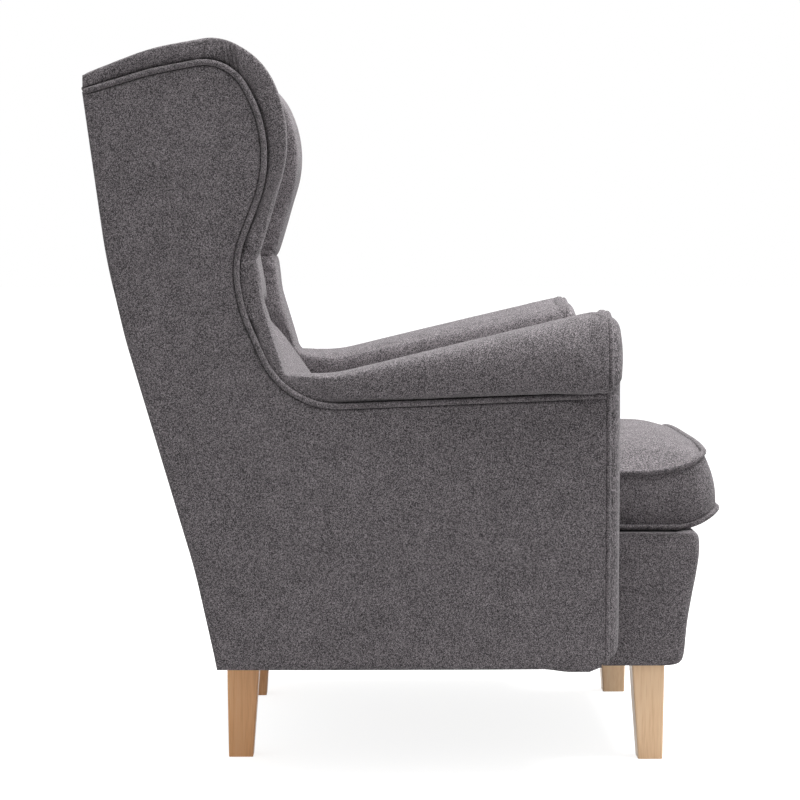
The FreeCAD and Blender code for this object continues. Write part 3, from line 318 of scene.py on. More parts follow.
def build(name, parts, thickness=0.0, subdivide=0):
    """Mesh object of several grid parts, their shared points merged, with smooth shading and a UV map.

    A quad whose corners fall together becomes a triangle or is left out.
    """
    vertices = np.concatenate([part[0] for part in parts])
    starts = np.cumsum([0] + [len(part[0]) for part in parts])
    quads = np.concatenate([part[1] + start for part, start in zip(parts, starts)])
    uvs = np.concatenate([part[2] for part in parts])
    _, first, number = np.unique(np.round(vertices, 5), axis=0, return_index=True, return_inverse=True)
    quads = number.reshape(-1)[quads]
    mesh = bpy.data.meshes.new(name)
    faces = [list(dict.fromkeys(face)) for face in quads.tolist()]
    kept = np.array([len(face) > 2 for face in faces])
    mesh.from_pydata(vertices[first].tolist(), [], [face for face in faces if len(face) > 2])
    repeated = quads == np.roll(quads, 1, axis=1)
    mesh.uv_layers.new(name="UVMap").data.foreach_set("uv", uvs[kept][~repeated[kept]].ravel())
    mesh.polygons.foreach_set("use_smooth", np.ones(len(mesh.polygons), bool))
    piece = bpy.data.objects.new(name, mesh)
    bpy.context.scene.collection.objects.link(piece)
    if thickness:
        wall = piece.modifiers.new("wall", "SOLIDIFY")
        wall.thickness = thickness
        wall.offset = -1.0
    if subdivide:
        rounding = piece.modifiers.new("rounding", "SUBSURF")
        rounding.levels = subdivide
        rounding.render_levels = subdivide
    return piece


SETTLE_FRAMES = 20


def hat_weights(count, knots):
    """Weights that read count even places in straight lines between knots even ones."""
    places = np.linspace(0.0, knots - 1.0, count)
    return np.maximum(0.0, 1.0 - np.abs(places[:, None] - np.arange(knots)))


def settle(points, rows, columns, pressure, cap, slack):
    """Cover blown out by its padding: a coarse copy of the grid, held at its four edges, is run as cloth.

    The copy's movement, eased off towards the cap, is read between its points and added to the grid.
    """
    row_places = np.linspace(0, points.shape[0] - 1, rows).round().astype(int)
    column_places = np.linspace(0, points.shape[1] - 1, columns).round().astype(int)
    start = points[np.ix_(row_places, column_places)]
    mesh = bpy.data.meshes.new("settling")
    mesh.from_pydata(start.reshape(-1, 3).tolist(), [], grid_quads(rows, columns, False, False).tolist())
    piece = bpy.data.objects.new("settling", mesh)
    scene = bpy.context.scene
    scene.collection.objects.link(piece)
    numbers = np.arange(rows * columns).reshape(rows, columns)
    held = np.setdiff1d(numbers, numbers[1:-1, 1:-1]).tolist()
    piece.vertex_groups.new(name="seams").add(held, 1.0, "REPLACE")
    cloth = piece.modifiers.new("cloth", "CLOTH")
    cloth.point_cache.frame_end = SETTLE_FRAMES
    cloth.collision_settings.use_collision = False
    cloth.settings.quality = 6
    cloth.settings.vertex_group_mass = "seams"
    cloth.settings.use_pressure = True
    cloth.settings.uniform_pressure_force = pressure
    cloth.settings.shrink_min = -slack
    cloth.settings.bending_stiffness = 0.3
    cloth.settings.effector_weights.gravity = 0.0
    for step in range(1, SETTLE_FRAMES + 1):
        scene.frame_set(step)
    settled = piece.evaluated_get(bpy.context.evaluated_depsgraph_get()).data
    places = np.empty(rows * columns * 3)
    settled.vertices.foreach_get("co", places)
    scene.frame_set(1)
    bpy.data.objects.remove(piece)
    moved = places.reshape(start.shape) - start
    size = np.maximum(np.linalg.norm(moved, axis=2, keepdims=True), 1e-9)
    moved *= cap * np.tanh(size / cap) / size
    weights = hat_weights(points.shape[0], rows), hat_weights(points.shape[1], columns)
    return points + np.einsum("ri,cj,ijd->rcd", *weights, moved, optimize=True)


def other_side(points):
    """The same grid on the other side of the chair, its columns turned round so that it still faces out."""
    return (points * np.array((-1.0, 1.0, 1.0)))[:, ::-1]


SIDES = (("l", np.asarray), ("r", other_side))


def finish_piece(piece, material, body="chair", nodes=()):
    """Gives a piece its finish, the body it rides on and the nodes it stands for."""
    piece.data.materials.append(material)
    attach(piece, body)
    if nodes:
        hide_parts(*nodes)


# Materials

def new_material(name):
    """Material with its node tree and its main shader."""
    material = bpy.data.materials.new(name)
    material.use_nodes = True
    return material, material.node_tree, material.node_tree.nodes["Principled BSDF"]


def set_inputs(tree, node, inputs):
    """Puts values or links on a node's inputs."""
    for name, value in inputs.items():
        if isinstance(value, bpy.types.NodeSocket):
            tree.links.new(value, node.inputs[name])
        else:
            node.inputs[name].default_value = value


def add(tree, kind, inputs, **settings):
    """Node of a kind with its settings and inputs set."""
    node = tree.nodes.new("ShaderNode" + kind)
    for name, value in settings.items():
        setattr(node, name, value)
    set_inputs(tree, node, inputs)
    return node


def ramp(tree, factor, stops):
    """Colour ramp over (place, colour) stops."""
    node = add(tree, "ValToRGB", {"Fac": factor})
    elements = node.color_ramp.elements
    while len(elements) < len(stops):
        elements.new(1.0)
    for element, (place, colour) in zip(elements, stops):
        element.position = place
        element.color = (*colour, 1.0)
    return node.outputs["Color"]


def grey(level, tint=(1.0, 1.0, 1.0)):
    """Linear colour of a grey given as a screen level from 0 to 255."""
    value = level / 255.0
    value = value / 12.92 if value <= 0.04045 else ((value + 0.055) / 1.055) ** 2.4
    return tuple(value * part for part in tint)


def wave(tree, coordinate):
    """Height of round yarns side by side, one to a unit of the coordinate."""
    turned = add(tree, "Math", {0: coordinate, 1: math.pi}, operation="MULTIPLY")
    bent = add(tree, "Math", {0: turned.outputs[0]}, operation="SINE")
    return add(tree, "Math", {0: bent.outputs[0]}, operation="ABSOLUTE").outputs[0]


FABRIC_TINT = (1.055, 0.950, 1.005)
YARN_PITCH = 0.0009
COVER_TONES = (24, 88, 160)      # screen levels of the darkest, middle and lightest yarns
# Deck cloth: a separate, plainer fabric; its darker tones are partly its own and partly painted shade that
# keeps the gap under the cushion dark.
DECK_TONES = (30, 66, 110)


def melange_cloth(name, tones, bump=0.35):
    """Plain weave of melange yarns on the UV map.

    Each lengthwise and crosswise yarn is cut into short stretches of a random tone. A checker picks which
    yarn lies on top, and broad noise shifts the tone a little over a hand's width.
    """
    material, tree, shader = new_material(name)
    place = add(tree, "TexCoord", {}).outputs["UV"]
    per_metre = 1 / YARN_PITCH
    yarns = add(tree, "Mapping", {"Vector": place, "Scale": (per_metre, per_metre, 1.0)}).outputs["Vector"]
    stretch_tones = []
    for cut in ((1.0, 0.6, 1.0), (0.6, 1.0, 1.0)):
        stretches = add(tree, "VectorMath", {0: yarns, 1: cut}, operation="MULTIPLY").outputs["Vector"]
        numbers = add(tree, "VectorMath", {0: stretches}, operation="FLOOR").outputs["Vector"]
        noise = add(tree, "TexWhiteNoise", {"Vector": numbers}, noise_dimensions="2D")
        stretch_tones.append(noise.outputs["Value"])
    over = add(tree, "TexChecker", {"Vector": yarns, "Scale": 1.0}).outputs["Fac"]
    along, crosswise = stretch_tones
    tone = add(tree, "MixRGB", {"Fac": over, "Color1": along, "Color2": crosswise}).outputs["Color"]
    patches = add(tree, "TexNoise", {"Vector": place, "Scale": 30.0, "Detail": 4.0}, noise_dimensions="2D")
    shifted = add(tree, "MixRGB", {"Fac": 0.15, "Color1": tone, "Color2": patches.outputs["Fac"]})
    stops = [(at, grey(level, FABRIC_TINT)) for at, level in zip((0.05, 0.5, 0.95), tones)]
    split = add(tree, "SeparateXYZ", {"Vector": yarns})
    rounds = add(tree, "MixRGB", {"Fac": over, "Color1": wave(tree, split.outputs["X"]),
                                  "Color2": wave(tree, split.outputs["Y"])}).outputs["Color"]
    relief = add(tree, "Bump", {"Height": rounds, "Strength": bump, "Distance": 0.0006})
    colour = ramp(tree, shifted.outputs["Color"], stops)
    set_inputs(tree, shader, {"Base Color": colour, "Normal": relief.outputs["Normal"], "Roughness": 0.92,
                              "Specular IOR Level": 0.25, "Sheen Weight": 0.12, "Sheen Roughness": 0.6})
    return material


def stretched_noise(tree, scale, inputs):
    """Noise on object coordinates, with its own scale each way."""
    place = add(tree, "TexCoord", {}).outputs["Object"]
    spread = add(tree, "Mapping", {"Vector": place, "Scale": scale}).outputs["Vector"]
    return add(tree, "TexNoise", {"Vector": spread, "Scale": 1.0, **inputs}).outputs["Fac"]


def leg_wood(name, dark, middle, light):
    """Lacquered hardwood: long grain up the leg and fine pores."""
    material, tree, shader = new_material(name)
    grain = stretched_noise(tree, (95.0, 95.0, 5.0), {"Detail": 5.0, "Roughness": 0.6, "Distortion": 0.8})
    pores = stretched_noise(tree, (900.0, 900.0, 26.0), {"Detail": 2.0})
    both = add(tree, "MixRGB", {"Fac": 0.35, "Color1": grain, "Color2": pores}).outputs["Color"]
    colour = ramp(tree, both, ((0.32, dark), (0.50, middle), (0.66, light)))
    relief = add(tree, "Bump", {"Height": both, "Strength": 0.15, "Distance": 0.0005})
    set_inputs(tree, shader, {"Base Color": colour, "Normal": relief.outputs["Normal"], "Roughness": 0.42,
                              "Coat Weight": 0.25, "Coat Roughness": 0.25})
    return material


def plain_finish(name, scale, stops, roughness, metallic=0.0, bump=0.2):
    """Finish of a hidden piece, with noise for its tone and relief."""
    material, tree, shader = new_material(name)
    noise = stretched_noise(tree, scale, {"Detail": 4.0, "Roughness": 0.6})
    relief = add(tree, "Bump", {"Height": noise, "Strength": bump, "Distance": 0.0005})
    set_inputs(tree, shader, {"Base Color": ramp(tree, noise, stops), "Normal": relief.outputs["Normal"],
                              "Roughness": roughness, "Metallic": metallic})
    return material


cover_cloth = melange_cloth("cover_melange", COVER_TONES)
cushion_cloth = melange_cloth("cushion_melange", COVER_TONES)
welt_cloth = melange_cloth("welt_melange", COVER_TONES)
dust_cloth = plain_finish("dust_cloth", (900.0, 900.0, 900.0), ((0.3, grey(28)), (0.7, grey(44))), 0.95)
# darker deck tones: partly painted shade in the gap under the cushion
deck_cloth = melange_cloth("deck_cloth", DECK_TONES, bump=0.2)


# Covers and welts

def make_cover(name, parts, nodes, cloth=cover_cloth):
    """Padded cover of grid parts, which stands for nodes."""
    piece = build(name, parts, COVER_THICKNESS)
    finish_piece(piece, cloth, nodes=nodes)


def make_welt(name, points, node, body="chair", close_rows=False):
    """Cord of a welt, which stands for a node."""
    piece = build(name, [grid_part(points, close_rows, True)])
    finish_piece(piece, welt_cloth, body, [node])


# Side edges shared by bands, welts and panels

EDGE_COUNT = 960
EDGE_PASSES = 5
side_lines = ((WELT_EDGE, WELT_ROUNDS), (CREST_EDGE, CREST_ROUNDS), (ROOT_EDGE, ROOT_ROUNDS))
side_paths = even_paths([rounded_path(*line) for line in side_lines], EDGE_COUNT)
welt_edge, crest_edge, root_edge = (eased(path, EDGE_PASSES) for path in side_paths)
neck = int(np.argmin(np.abs(crest_edge[:, 1] - NECK_Z)[:EDGE_COUNT // 2]))


def band_grid(first, last, columns=64):
    """Padded band over a stretch of the side's upper edge, left side.

    A section is a cubic B-spline over twelve points. Ten lie at a share of the way from the welt line to
    the crest, seven measured in from the flat side and three from the inner face, and the last two run from
    there to the root. Along the arm the points go over from the plain band's to the rolled arm's. Bell
    curves along the edge draw the section in at the neck seam and at the gathers.
    """
    welt = welt_edge[first:last]
    crest = crest_edge[first:last]
    root = root_edge[first:last]
    roll_start = arm_joint_y + ROLL_LEAD
    roll = np.clip((roll_start - crest[:, 0]) / (roll_start - arm_face_y), 0.0, 1.0)[:, None]
    roll[crest[:, 1] > NECK_Z] = 0.0
    to_arm = smooth_step((np.arange(first, last) - neck) / (ARM_BLEND * EDGE_COUNT))[:, None]
    inner = wing_inner_x + (arm_inner_x - wing_inner_x) * to_arm
    band = np.array(BAND_OUTER + BAND_INNER)
    rolled = np.array(ROLL_OUTER + ROLL_INNER)
    inset = band[:, 0] + (rolled[:, 0] - band[:, 0]) * roll
    share = band[:, 1] + (rolled[:, 1] - band[:, 1]) * roll
    outer_count = len(BAND_OUTER)
    x = np.concatenate((side_x - inset[:, :outer_count], inner + inset[:, outer_count:]), axis=1)
    along = distance_along(crest)
    from_neck = along if first else along[-1] - along
    pinch = np.exp(-(from_neck / NECK_REACH) ** 1.3)[:, None]
    middle = (side_x + inner) / 2
    x = middle + (x - middle) * (1 - NECK_NARROWING * pinch)
    gathers = np.exp(-((welt[:, :1] - np.array(GATHERS)) / GATHER_WIDTH) ** 2).sum(axis=1, keepdims=True)
    gathers[welt[:, 1] < NECK_Z] = 0.0
    x[:, :outer_count] -= GATHER_DEPTH * gathers * smooth_step((1.0 - share[:, :outer_count]) / GATHER_FADE)
    lift = np.linalg.norm(crest - welt, axis=1)[:, None]
    share = share - NECK_PINCH / lift * pinch * smooth_step(share)
    flat = welt[:, None] + share[..., None] * (crest - welt)[:, None]
    tail = np.array(ROOT_SHARES)[None, :, None]
    flat = np.concatenate((flat, flat[:, -1:] + tail * (root[:, None] - flat[:, -1:])), axis=1)
    x = np.concatenate((x, np.repeat(inner, len(ROOT_SHARES), axis=1)), axis=1)
    controls = np.concatenate((x[..., None], flat), axis=2)
    return np.einsum("ck,rkd->rcd", spline_basis(controls.shape[1], columns), controls)[:, ::-1]


def make_bands():
    """Wing covers above the neck seam and arm covers below it; a wing's rear end is closed by a flat cap."""
    spans = (("wing", 0, neck + 1, ("wing_pad",)), ("arm", neck, EDGE_COUNT, ("arm_riser_pad", "arm_pad")))
    for name, first, last, pads in spans:
        points = settle(band_grid(first, last), (last - first) // 5, 24, pressure=2.0, cap=0.002, slack=0.015)
        chord = np.linspace(points[0, 0], points[0, -1], points.shape[1])
        end_cap = points[0] + np.linspace(1.0, 0.0, 8)[:, None, None] * (chord - points[0])
        grids = (points, end_cap) if name == "wing" else (points,)
        for side, turn in SIDES:
            parts = [grid_part(turn(grid)) for grid in grids]
            make_cover("%s_cover_%s" % (name, side), parts, ["%s_%s" % (pad, side) for pad in pads])


def make_side_panels():
    """Flat covers of the sides: straight rows between the front and upper edge and the rear edge.

    They swell away from their edges, sink along a quarter round beside their seams and dip at the foot.
    """
    rear = rounded_path(REAR_EDGE, REAR_ROUNDS)
    foot = ((arm_face_y + SIDE_FOOT_RUN, base_z), (arm_face_y, base_z), (arm_face_y, WELT_EDGE[-1][1]))
    front = np.concatenate((rounded_path(foot, (SIDE_FOOT_ROUND,)), welt_edge[::-1]))
    along = distance_along(front)
    corners = [np.argmin(((front - WELT_EDGE[number]) ** 2).sum(axis=1)) for number in SIDE_CORNERS]
    marks = along[[0] + corners + [-1]]
    places = np.interp(np.linspace(0.0, 1.0, 150), np.linspace(0.0, 1.0, len(marks)), marks)
    front_line = read_path(front, along, places)
    rear_z = np.interp(places, marks, SIDE_STATIONS)
    rear_line = np.stack((np.interp(rear_z, rear[:, 1], rear[:, 0]), rear_z), axis=1)
    flat = front_line[:, None] + crowded_ends(120)[None, :, None] * (rear_line - front_line)[:, None]
    low = 1 - smooth_step((flat[..., 1] - base_z) / SIDE_DIP_HEIGHT)
    ahead = smooth_step((arm_face_y + SIDE_DIP_LENGTH - flat[..., 0]) / SIDE_DIP_EASE)
    flat[..., 1] -= SIDE_FOOT_DIP * low * ahead
    rear_edge = even_paths((rear,), 300)[0]
    distance = edge_distance(flat, np.concatenate((front, rear_edge)))
    sink = SEAM_SINK * (1 - quarter_round(distance - SEAM_START, SEAM_ROUND))
    sink *= smooth_step((flat[..., 1] - base_z) / SIDE_FOOT_FADE)
    x = side_x + SIDE_RAISE - sink + SIDE_PUFF * smooth_step(distance / SIDE_PUFF_REACH)
    points = np.concatenate((x[..., None], flat), axis=2)[:, ::-1]
    for side, turn in SIDES:
        grid = turn(points)
        parts = [grid_part(grid, uv=grid[..., 1:])]
        make_cover("side_panel_" + side, parts, ["side_cover_" + side])


def make_side_welts():
    """Welts along the edges of the flat sides: round cords on the welt line."""
    path = np.insert(welt_edge, 0, side_x, axis=1)
    points = tube(path, (1.0, 0.0, 0.0), WELT_RADIUS)
    for side, turn in SIDES:
        make_welt("side_welt_cord_" + side, turn(points), "side_welt_" + side)


def arm_front_edges():
    """Outer and inner edges of the arm front, as (x, z) paths from its foot's middle to the top of its roll.

    Their upper parts are the end of the arm's cover; below that the outer edge is straight and the inner edge
    steps out at the deck.
    """
    roll = band_grid(EDGE_COUNT - 2, EDGE_COUNT)[-1, ::-1][:, [0, 2]]
    top = int(np.argmax(roll[:, 1]))
    outside = roll[:top + 1]
    inside = roll[top:][::-1]
    step_z = deck_high.z + FACING_STEP_GAP
    foot_x = arm_panel_x + FIT_GAP
    foot_z = base_z + FACING_FOOT_RISE
    foot_middle = ((side_x + foot_x) / 2, (foot_z + base_z) / 2)
    under_roll = (side_x, outside[0][1] - FACING_CORNER)
    outer_foot = rounded_path((foot_middle, (side_x, foot_z), under_roll, tuple(outside[0])),
                              (FACING_CORNER, FACING_CORNER / 2))
    outer = np.concatenate((outer_foot, outside[1:]))
    inside = inside[inside[:, 1] > step_z + FACING_STEP_RUN]
    inner_foot = rounded_path((foot_middle, (foot_x, base_z), (foot_x, step_z), (arm_inner_x, step_z),
                               tuple(inside[0])), (FACING_CORNER, FACING_STEP_ROUND, FACING_STEP_ROUND))
    inner = np.concatenate((inner_foot, inside[1:]))
    return outer, inner


def inset_edge(path, distance):
    """Path moved sideways by a distance, to the left of its own direction."""
    way = np.gradient(path, axis=0)
    way /= np.maximum(np.linalg.norm(way, axis=1), 1e-9)[:, None]
    return path + distance * np.stack((-way[:, 1], way[:, 0]), axis=1)


def make_arm_fronts():
    """Puffed facings and their welts.

    Straight rows between the outer and inner edges rise as a quarter round off the rim and then more slowly,
    and the cloth turns back behind its edge.
    """
    outer, inner = (eased(even_paths((path,), 220)[0], 6) for path in arm_front_edges())
    loop = np.concatenate((outer, inner[::-1]))
    flat = outer[:, None] + crowded_ends(56)[None, :, None] * (inner - outer)[:, None]
    distance = edge_distance(flat, loop) - FACING_RIM_START
    rim = FACING_RIM_SHARE * quarter_round(distance, FACING_EDGE_ROUND)
    rise = FACING_CROWN * (rim + (1 - FACING_RIM_SHARE) * smooth_step(distance / FACING_SWELL_REACH))
    points = np.stack((flat[..., 0], arm_face_y - FACING_STANDOFF - rise, flat[..., 1]), axis=2)
    returns = (inset_edge(outer, FACING_RETURN_INSET), inset_edge(inner, -FACING_RETURN_INSET))
    returns = [np.insert(path, 1, arm_face_y + FACING_RETURN, axis=1)[:, None] for path in returns]
    points = np.concatenate((returns[0], points, returns[1]), axis=1)
    welt_loop = np.concatenate((inset_edge(outer, WELT_RADIUS), inset_edge(inner, -WELT_RADIUS)[::-1]))
    path = np.insert(welt_loop, 1, arm_face_y - WELT_RADIUS, axis=1)
    cord = tube(even_paths((path,), 420)[0], (0.0, 1.0, 0.0), WELT_RADIUS)
    for side, turn in SIDES:
        make_cover("arm_facing_" + side, [grid_part(turn(points))], ["arm_front_panel_" + side])
        make_welt("arm_front_cord_" + side, turn(cord), "arm_front_welt_" + side)


def back_half_width(z):
    """Half width of the inside back at a height: between the arms low down, the wings above the neck."""
    widening = smooth_step((z - BACK_WIDENING_Z) / (NECK_Z - BACK_WIDENING_Z))
    return arm_inner_x + (wing_inner_x - arm_inner_x) * widening + BACK_OVERLAP


def back_grid(profile, rounds, crease, rows, columns):
    """Inside back: a middle line carried across, each side falling back from it along the line's own normal.

    Close to the crease, which is at the profile's first or last corner, the sides fall straight back, so that
    both parts stay together. The sides rise to the middle's level towards the rear welt.
    """
    line = rounded_path(profile, rounds)
    line = eased(even_paths((line,), rows)[0], 4)
    way = np.gradient(line, axis=0)
    way /= np.linalg.norm(way, axis=1)[:, None]
    inward = np.stack((way[:, 1], -way[:, 0]), axis=1)
    from_crease = np.linalg.norm(line - profile[crease], axis=1)
    inward[:, 0] = np.where(from_crease < BACK_CREASE_REACH, 1.0, inward[:, 0])
    inward[:, 1] *= smooth_step((from_crease - BACK_CREASE_REACH / 2) / BACK_CREASE_REACH)
    inward /= np.linalg.norm(inward, axis=1)[:, None]
    across = np.linspace(-1.0, 1.0, columns)
    across = np.sign(across) * (1 - (1 - np.abs(across)) ** 1.3)
    fall = BACK_CROWN * across ** 2 + BACK_TUCK * np.abs(across) ** BACK_TUCK_POWER
    half = back_half_width(line[:, 1])
    from_welt = np.linalg.norm(line - UPPER_BACK[-1], axis=1)
    inward *= smooth_step(from_welt / BACK_TOP_LEVEL)[:, None]
    flat = line[:, None] + fall[None, :, None] * inward[:, None]
    x = half[:, None] * across[None, :]
    return np.concatenate((x[..., None], flat), axis=2)[:, ::-1]


def make_inside_back():
    """Upper and lower inside back, which meet at the sewn crease."""
    upper = back_grid(UPPER_BACK, UPPER_BACK_ROUNDS, crease=0, rows=170, columns=120)
    lower = back_grid(LOWER_BACK, LOWER_BACK_ROUNDS, crease=-1, rows=110, columns=110)
    parts = (("upper", upper, 60, ["inside_back_pad", "back_top_pad"]), ("lower", lower, 40, ["lumbar_pad"]))
    for name, points, coarse_rows, nodes in parts:
        points = settle(points, coarse_rows, 48, pressure=3.0, cap=0.006, slack=0.01)
        make_cover("inside_back_" + name, [grid_part(points)], nodes)


def make_outside_back():
    """Tight outside back and its top welt: the rear line carried across, its edges folded onto the sides."""
    rows = 110
    columns = 60
    line = even_paths((rounded_path(REAR_EDGE, REAR_ROUNDS),), rows)[0]
    half = side_x + OUTER_BACK_PROUD
    fold = rounded_path(((half, -OUTER_BACK_WRAP), (half, 0.0), (half - OUTER_BACK_FOLD, 0.0)),
                        (OUTER_BACK_WRAP_ROUND,), steps=8)
    middle_half = half - 1.25 * OUTER_BACK_FOLD
    middle = np.stack((np.linspace(middle_half, -middle_half, columns), np.zeros(columns)), axis=1)
    section = np.concatenate((fold, middle, fold[::-1] * (-1.0, 1.0)))
    puff = OUTER_BACK_PUFF * (1 - (section[:, 0] / half) ** 2)
    rise = np.sin(np.pi * np.linspace(0.0, 1.0, rows)) ** 0.5
    y = line[:, :1] + section[None, :, 1] + puff[None] * rise[:, None]
    points = np.stack(np.broadcast_arrays(section[None, :, 0], y, line[:, 1:]), axis=2)[:, ::-1]
    make_cover("outside_back", [grid_part(points)], ["outside_back_panel"])
    welt_y, welt_z = ((rear_welt_low + rear_welt_high) / 2).yz
    path = np.linspace((rear_welt_low.x, welt_y, welt_z), (rear_welt_high.x, welt_y, welt_z), 240)
    make_welt("back_top_cord", tube(path, (0.0, 0.0, 1.0), WELT_RADIUS), "back_top_welt")


# Shares of the apron's height and of its swell, from its foot up and over its top
APRON_PROFILE = ((-0.01, -0.9), (-0.01, -0.40), (0.03, -0.03), (0.16, 0.03), (0.35, 0.20), (0.58, 0.60),
                 (0.80, 1.0), (0.97, 1.05), (1.03, 0.75), (1.0, -0.6))


def make_apron():
    """Padded border: a plan line round the seat's front, carried up a B-spline of height and swell."""
    profile = spline_basis(len(APRON_PROFILE), 60) @ np.array(APRON_PROFILE)
    back = arm_face_y - APRON_RETURN_GAP
    levels = []
    for rise, swell in profile:
        x = arm_panel_x + FIT_GAP + APRON_SIDE * (0.75 + 0.25 * swell)
        y = rail_front_y - APRON_STANDOFF - APRON_CROWN * swell
        plan = rounded_path(((x, back), (x, y), (-x, y), (-x, back)), (APRON_CORNER, APRON_CORNER))
        z = apron_foot_z + (deck_high.z - apron_foot_z) * rise
        levels.append(np.insert(even_paths((plan,), 200)[0], 2, z, axis=1))
    make_cover("front_apron", [grid_part(np.stack(levels))], ["apron"])


# Seat cushion

CUSHION_SIDE_STEPS = 72
BOXING_STEPS = 12


def cushion_ring(share, inset):
    """Closed outline of the cushion at a share of the way from its lower to its upper seam.

    It starts at a corner's middle and has rounded corners, drawn-in sides and a front that climbs.
    """
    lower_z = (lower_welt_box[0].z + lower_welt_box[1].z) / 2 - CUSHION_LOWER_SAG
    upper_z = (upper_welt_box[0].z + upper_welt_box[1].z) / 2
    half = lower_welt_box[1].x - inset
    near = lower_welt_box[0].y + CUSHION_LEAN * share + inset
    far = lower_welt_box[1].y - inset
    path = rounded_path(((0.0, near), (half, near), (half, far), (-half, far), (-half, near), (0.0, near)),
                        (CUSHION_CORNER,) * 4)
    path = even_paths((path,), 4 * CUSHION_SIDE_STEPS + 1)[0][:-1]
    path = np.roll(path, CUSHION_SIDE_STEPS // 2, axis=0)
    place = np.linspace(0.0, 4.0, len(path), endpoint=False) % 1.0
    centre = np.array((0.0, (near + far) / 2))
    to_middle = (centre - path) / np.linalg.norm(centre - path, axis=1)[:, None]
    path = path + to_middle * (CUSHION_DRAW_IN * np.sin(np.pi * place) ** 2)[:, None]
    reach = CUSHION_LOWER_REACH + (CUSHION_UPPER_REACH - CUSHION_LOWER_REACH) * share
    frontness = np.clip((near + reach - path[:, 1]) / reach, 0.0, 1.0)
    aside = (path[:, 0] / half) ** 2
    path[:, 1] += CUSHION_FRONT_BOW * frontness * aside
    climb = CUSHION_LIFT * frontness ** (2.0 + share)
    climb += CUSHION_FRONT_ARCH * share * frontness * (1 - aside)
    return np.concatenate((path, (lower_z + (upper_z - lower_z) * share + climb)[:, None]), axis=1)


def coons_grid(outline, steps):
    """Grid over a closed outline of four runs: the sum of both rulings less the corners' bilinear blend."""
    ring = np.concatenate((outline, outline[:1]))
    south, east, north, west = (ring[i * steps:(i + 1) * steps + 1] for i in range(4))
    north = north[::-1]
    west = west[::-1]
    u = np.linspace(0.0, 1.0, steps + 1)[None, :, None]
    v = np.linspace(0.0, 1.0, steps + 1)[:, None, None]
    ruled = (1 - v) * south[None] + v * north[None] + (1 - u) * west[:, None] + u * east[:, None]
    corners = ((1 - u) * (1 - v) * south[0] + u * (1 - v) * south[-1]
               + (1 - u) * v * north[0] + u * v * north[-1])
    return ruled - corners


def make_cushion():
    """Loose cushion: crowned top, swelling boxing and flat underside between two welts, as one closed form.

    The crown is one less a power of the distance from the middle, each way; a half sine swells the boxing.
    """
    steps = CUSHION_SIDE_STEPS
    place = np.abs(np.linspace(-1.0, 1.0, steps + 1))
    lengthwise, crosswise = (1 - place ** power for power in CUSHION_CROWN_POWERS)
    crown = lengthwise[:, None] * crosswise[None, :]
    top = coons_grid(cushion_ring(1.0, CUSHION_SEAM_INSET), steps)
    top[..., 2] += (cushion_high.z - CUSHION_START - top[..., 2]) * crown
    behind = (top[..., 1] - cushion_low.y - CUSHION_HOLLOW_START) / CUSHION_HOLLOW_LENGTH
    top[..., 2] -= CUSHION_HOLLOW * crown * smooth_step(behind)
    top = settle(top[:, ::-1], 49, 49, pressure=3.0, cap=0.004, slack=0.01)
    bottom = coons_grid(cushion_ring(0.0, CUSHION_SEAM_INSET), steps)
    bottom[..., 2] -= (bottom[-1, 0, 2] - cushion_low.z) * np.minimum(1.0, 1.5 * crown)
    shares = np.linspace(1.0, 0.0, BOXING_STEPS + 1)
    insets = CUSHION_SEAM_INSET - CUSHION_BOXING_SWELL * np.sin(np.pi * shares)
    boxing = np.stack([cushion_ring(share, inset) for share, inset in zip(shares, insets)])
    parts = [grid_part(top), grid_part(bottom), grid_part(boxing, close_columns=True)]
    piece = build("seat_cushion_upholstery", parts, subdivide=1)
    finish_piece(piece, cushion_cloth, "seat_cushion",
                 ["seat_cushion_cover", "seat_cushion_foam"])
    for name, share, node in (("upper", 1.0, "cushion_welt_top"), ("lower", 0.0, "cushion_welt_bottom")):
        cord = loop_tube(cushion_ring(share, WELT_RADIUS), WELT_RADIUS)
        make_welt("cushion_%s_cord" % name, cord, node, "seat_cushion", close_rows=True)


def make_deck():
    """Padded deck under the cushion: a flat top, wider in front of the arms, that rolls down at its edges."""
    rows = 160
    columns = 90
    across = np.linspace(-1.0, 1.0, columns)
    along = np.linspace(-1.0, 1.0, rows)
    edge = (1 - along ** DECK_EDGE_POWER)[:, None] * (1 - across ** DECK_EDGE_POWER)[None, :]
    y = deck_low.y - DECK_OVERLAP + (deck_high.y - deck_low.y + 2 * DECK_OVERLAP) * (along + 1) / 2
    half = np.where(y < arm_face_y - DECK_WIDENING, arm_panel_x, arm_inner_x) + DECK_OVERLAP
    x = half[:, None] * across[None]
    z = deck_low.z + DECK_EDGE + (deck_high.z - deck_low.z - DECK_EDGE) * edge ** 0.5
    points = np.stack(np.broadcast_arrays(x, y[:, None], z), axis=2)[:, ::-1]
    make_cover("deck_cover", [grid_part(points)], ["deck_pad", "deck_felt"], deck_cloth)


def make_dust_cover():
    """Stretched cloth under the frame, narrower in front of the arms, sagging a little between the rails."""
    rows = 90
    columns = 60
    across = np.linspace(-1.0, 1.0, columns)
    y = np.linspace(dust_low.y, dust_high.y, rows)
    half = np.where(y < arm_face_y, arm_panel_x, dust_high.x) - DUST_CLOTH_INSET
    x = half[:, None] * across[None]
    sag = DUST_CLOTH_SAG * (1 - across ** 2)[None, :] * np.sin(np.pi * np.linspace(0.0, 1.0, rows))[:, None]
    points = np.stack(np.broadcast_arrays(x, y[:, None], dust_low.z - sag), axis=2)
    piece = build("dust_cloth_under_seat", [grid_part(points)], DUST_CLOTH_THICKNESS)
    finish_piece(piece, dust_cloth, nodes=["dust_cover"])


make_bands()
make_side_panels()
make_side_welts()
make_arm_fronts()
make_inside_back()
make_outside_back()
make_apron()
make_cushion()
make_deck()
make_dust_cover()


# Finishes of the pieces that are shown as they come from the frame

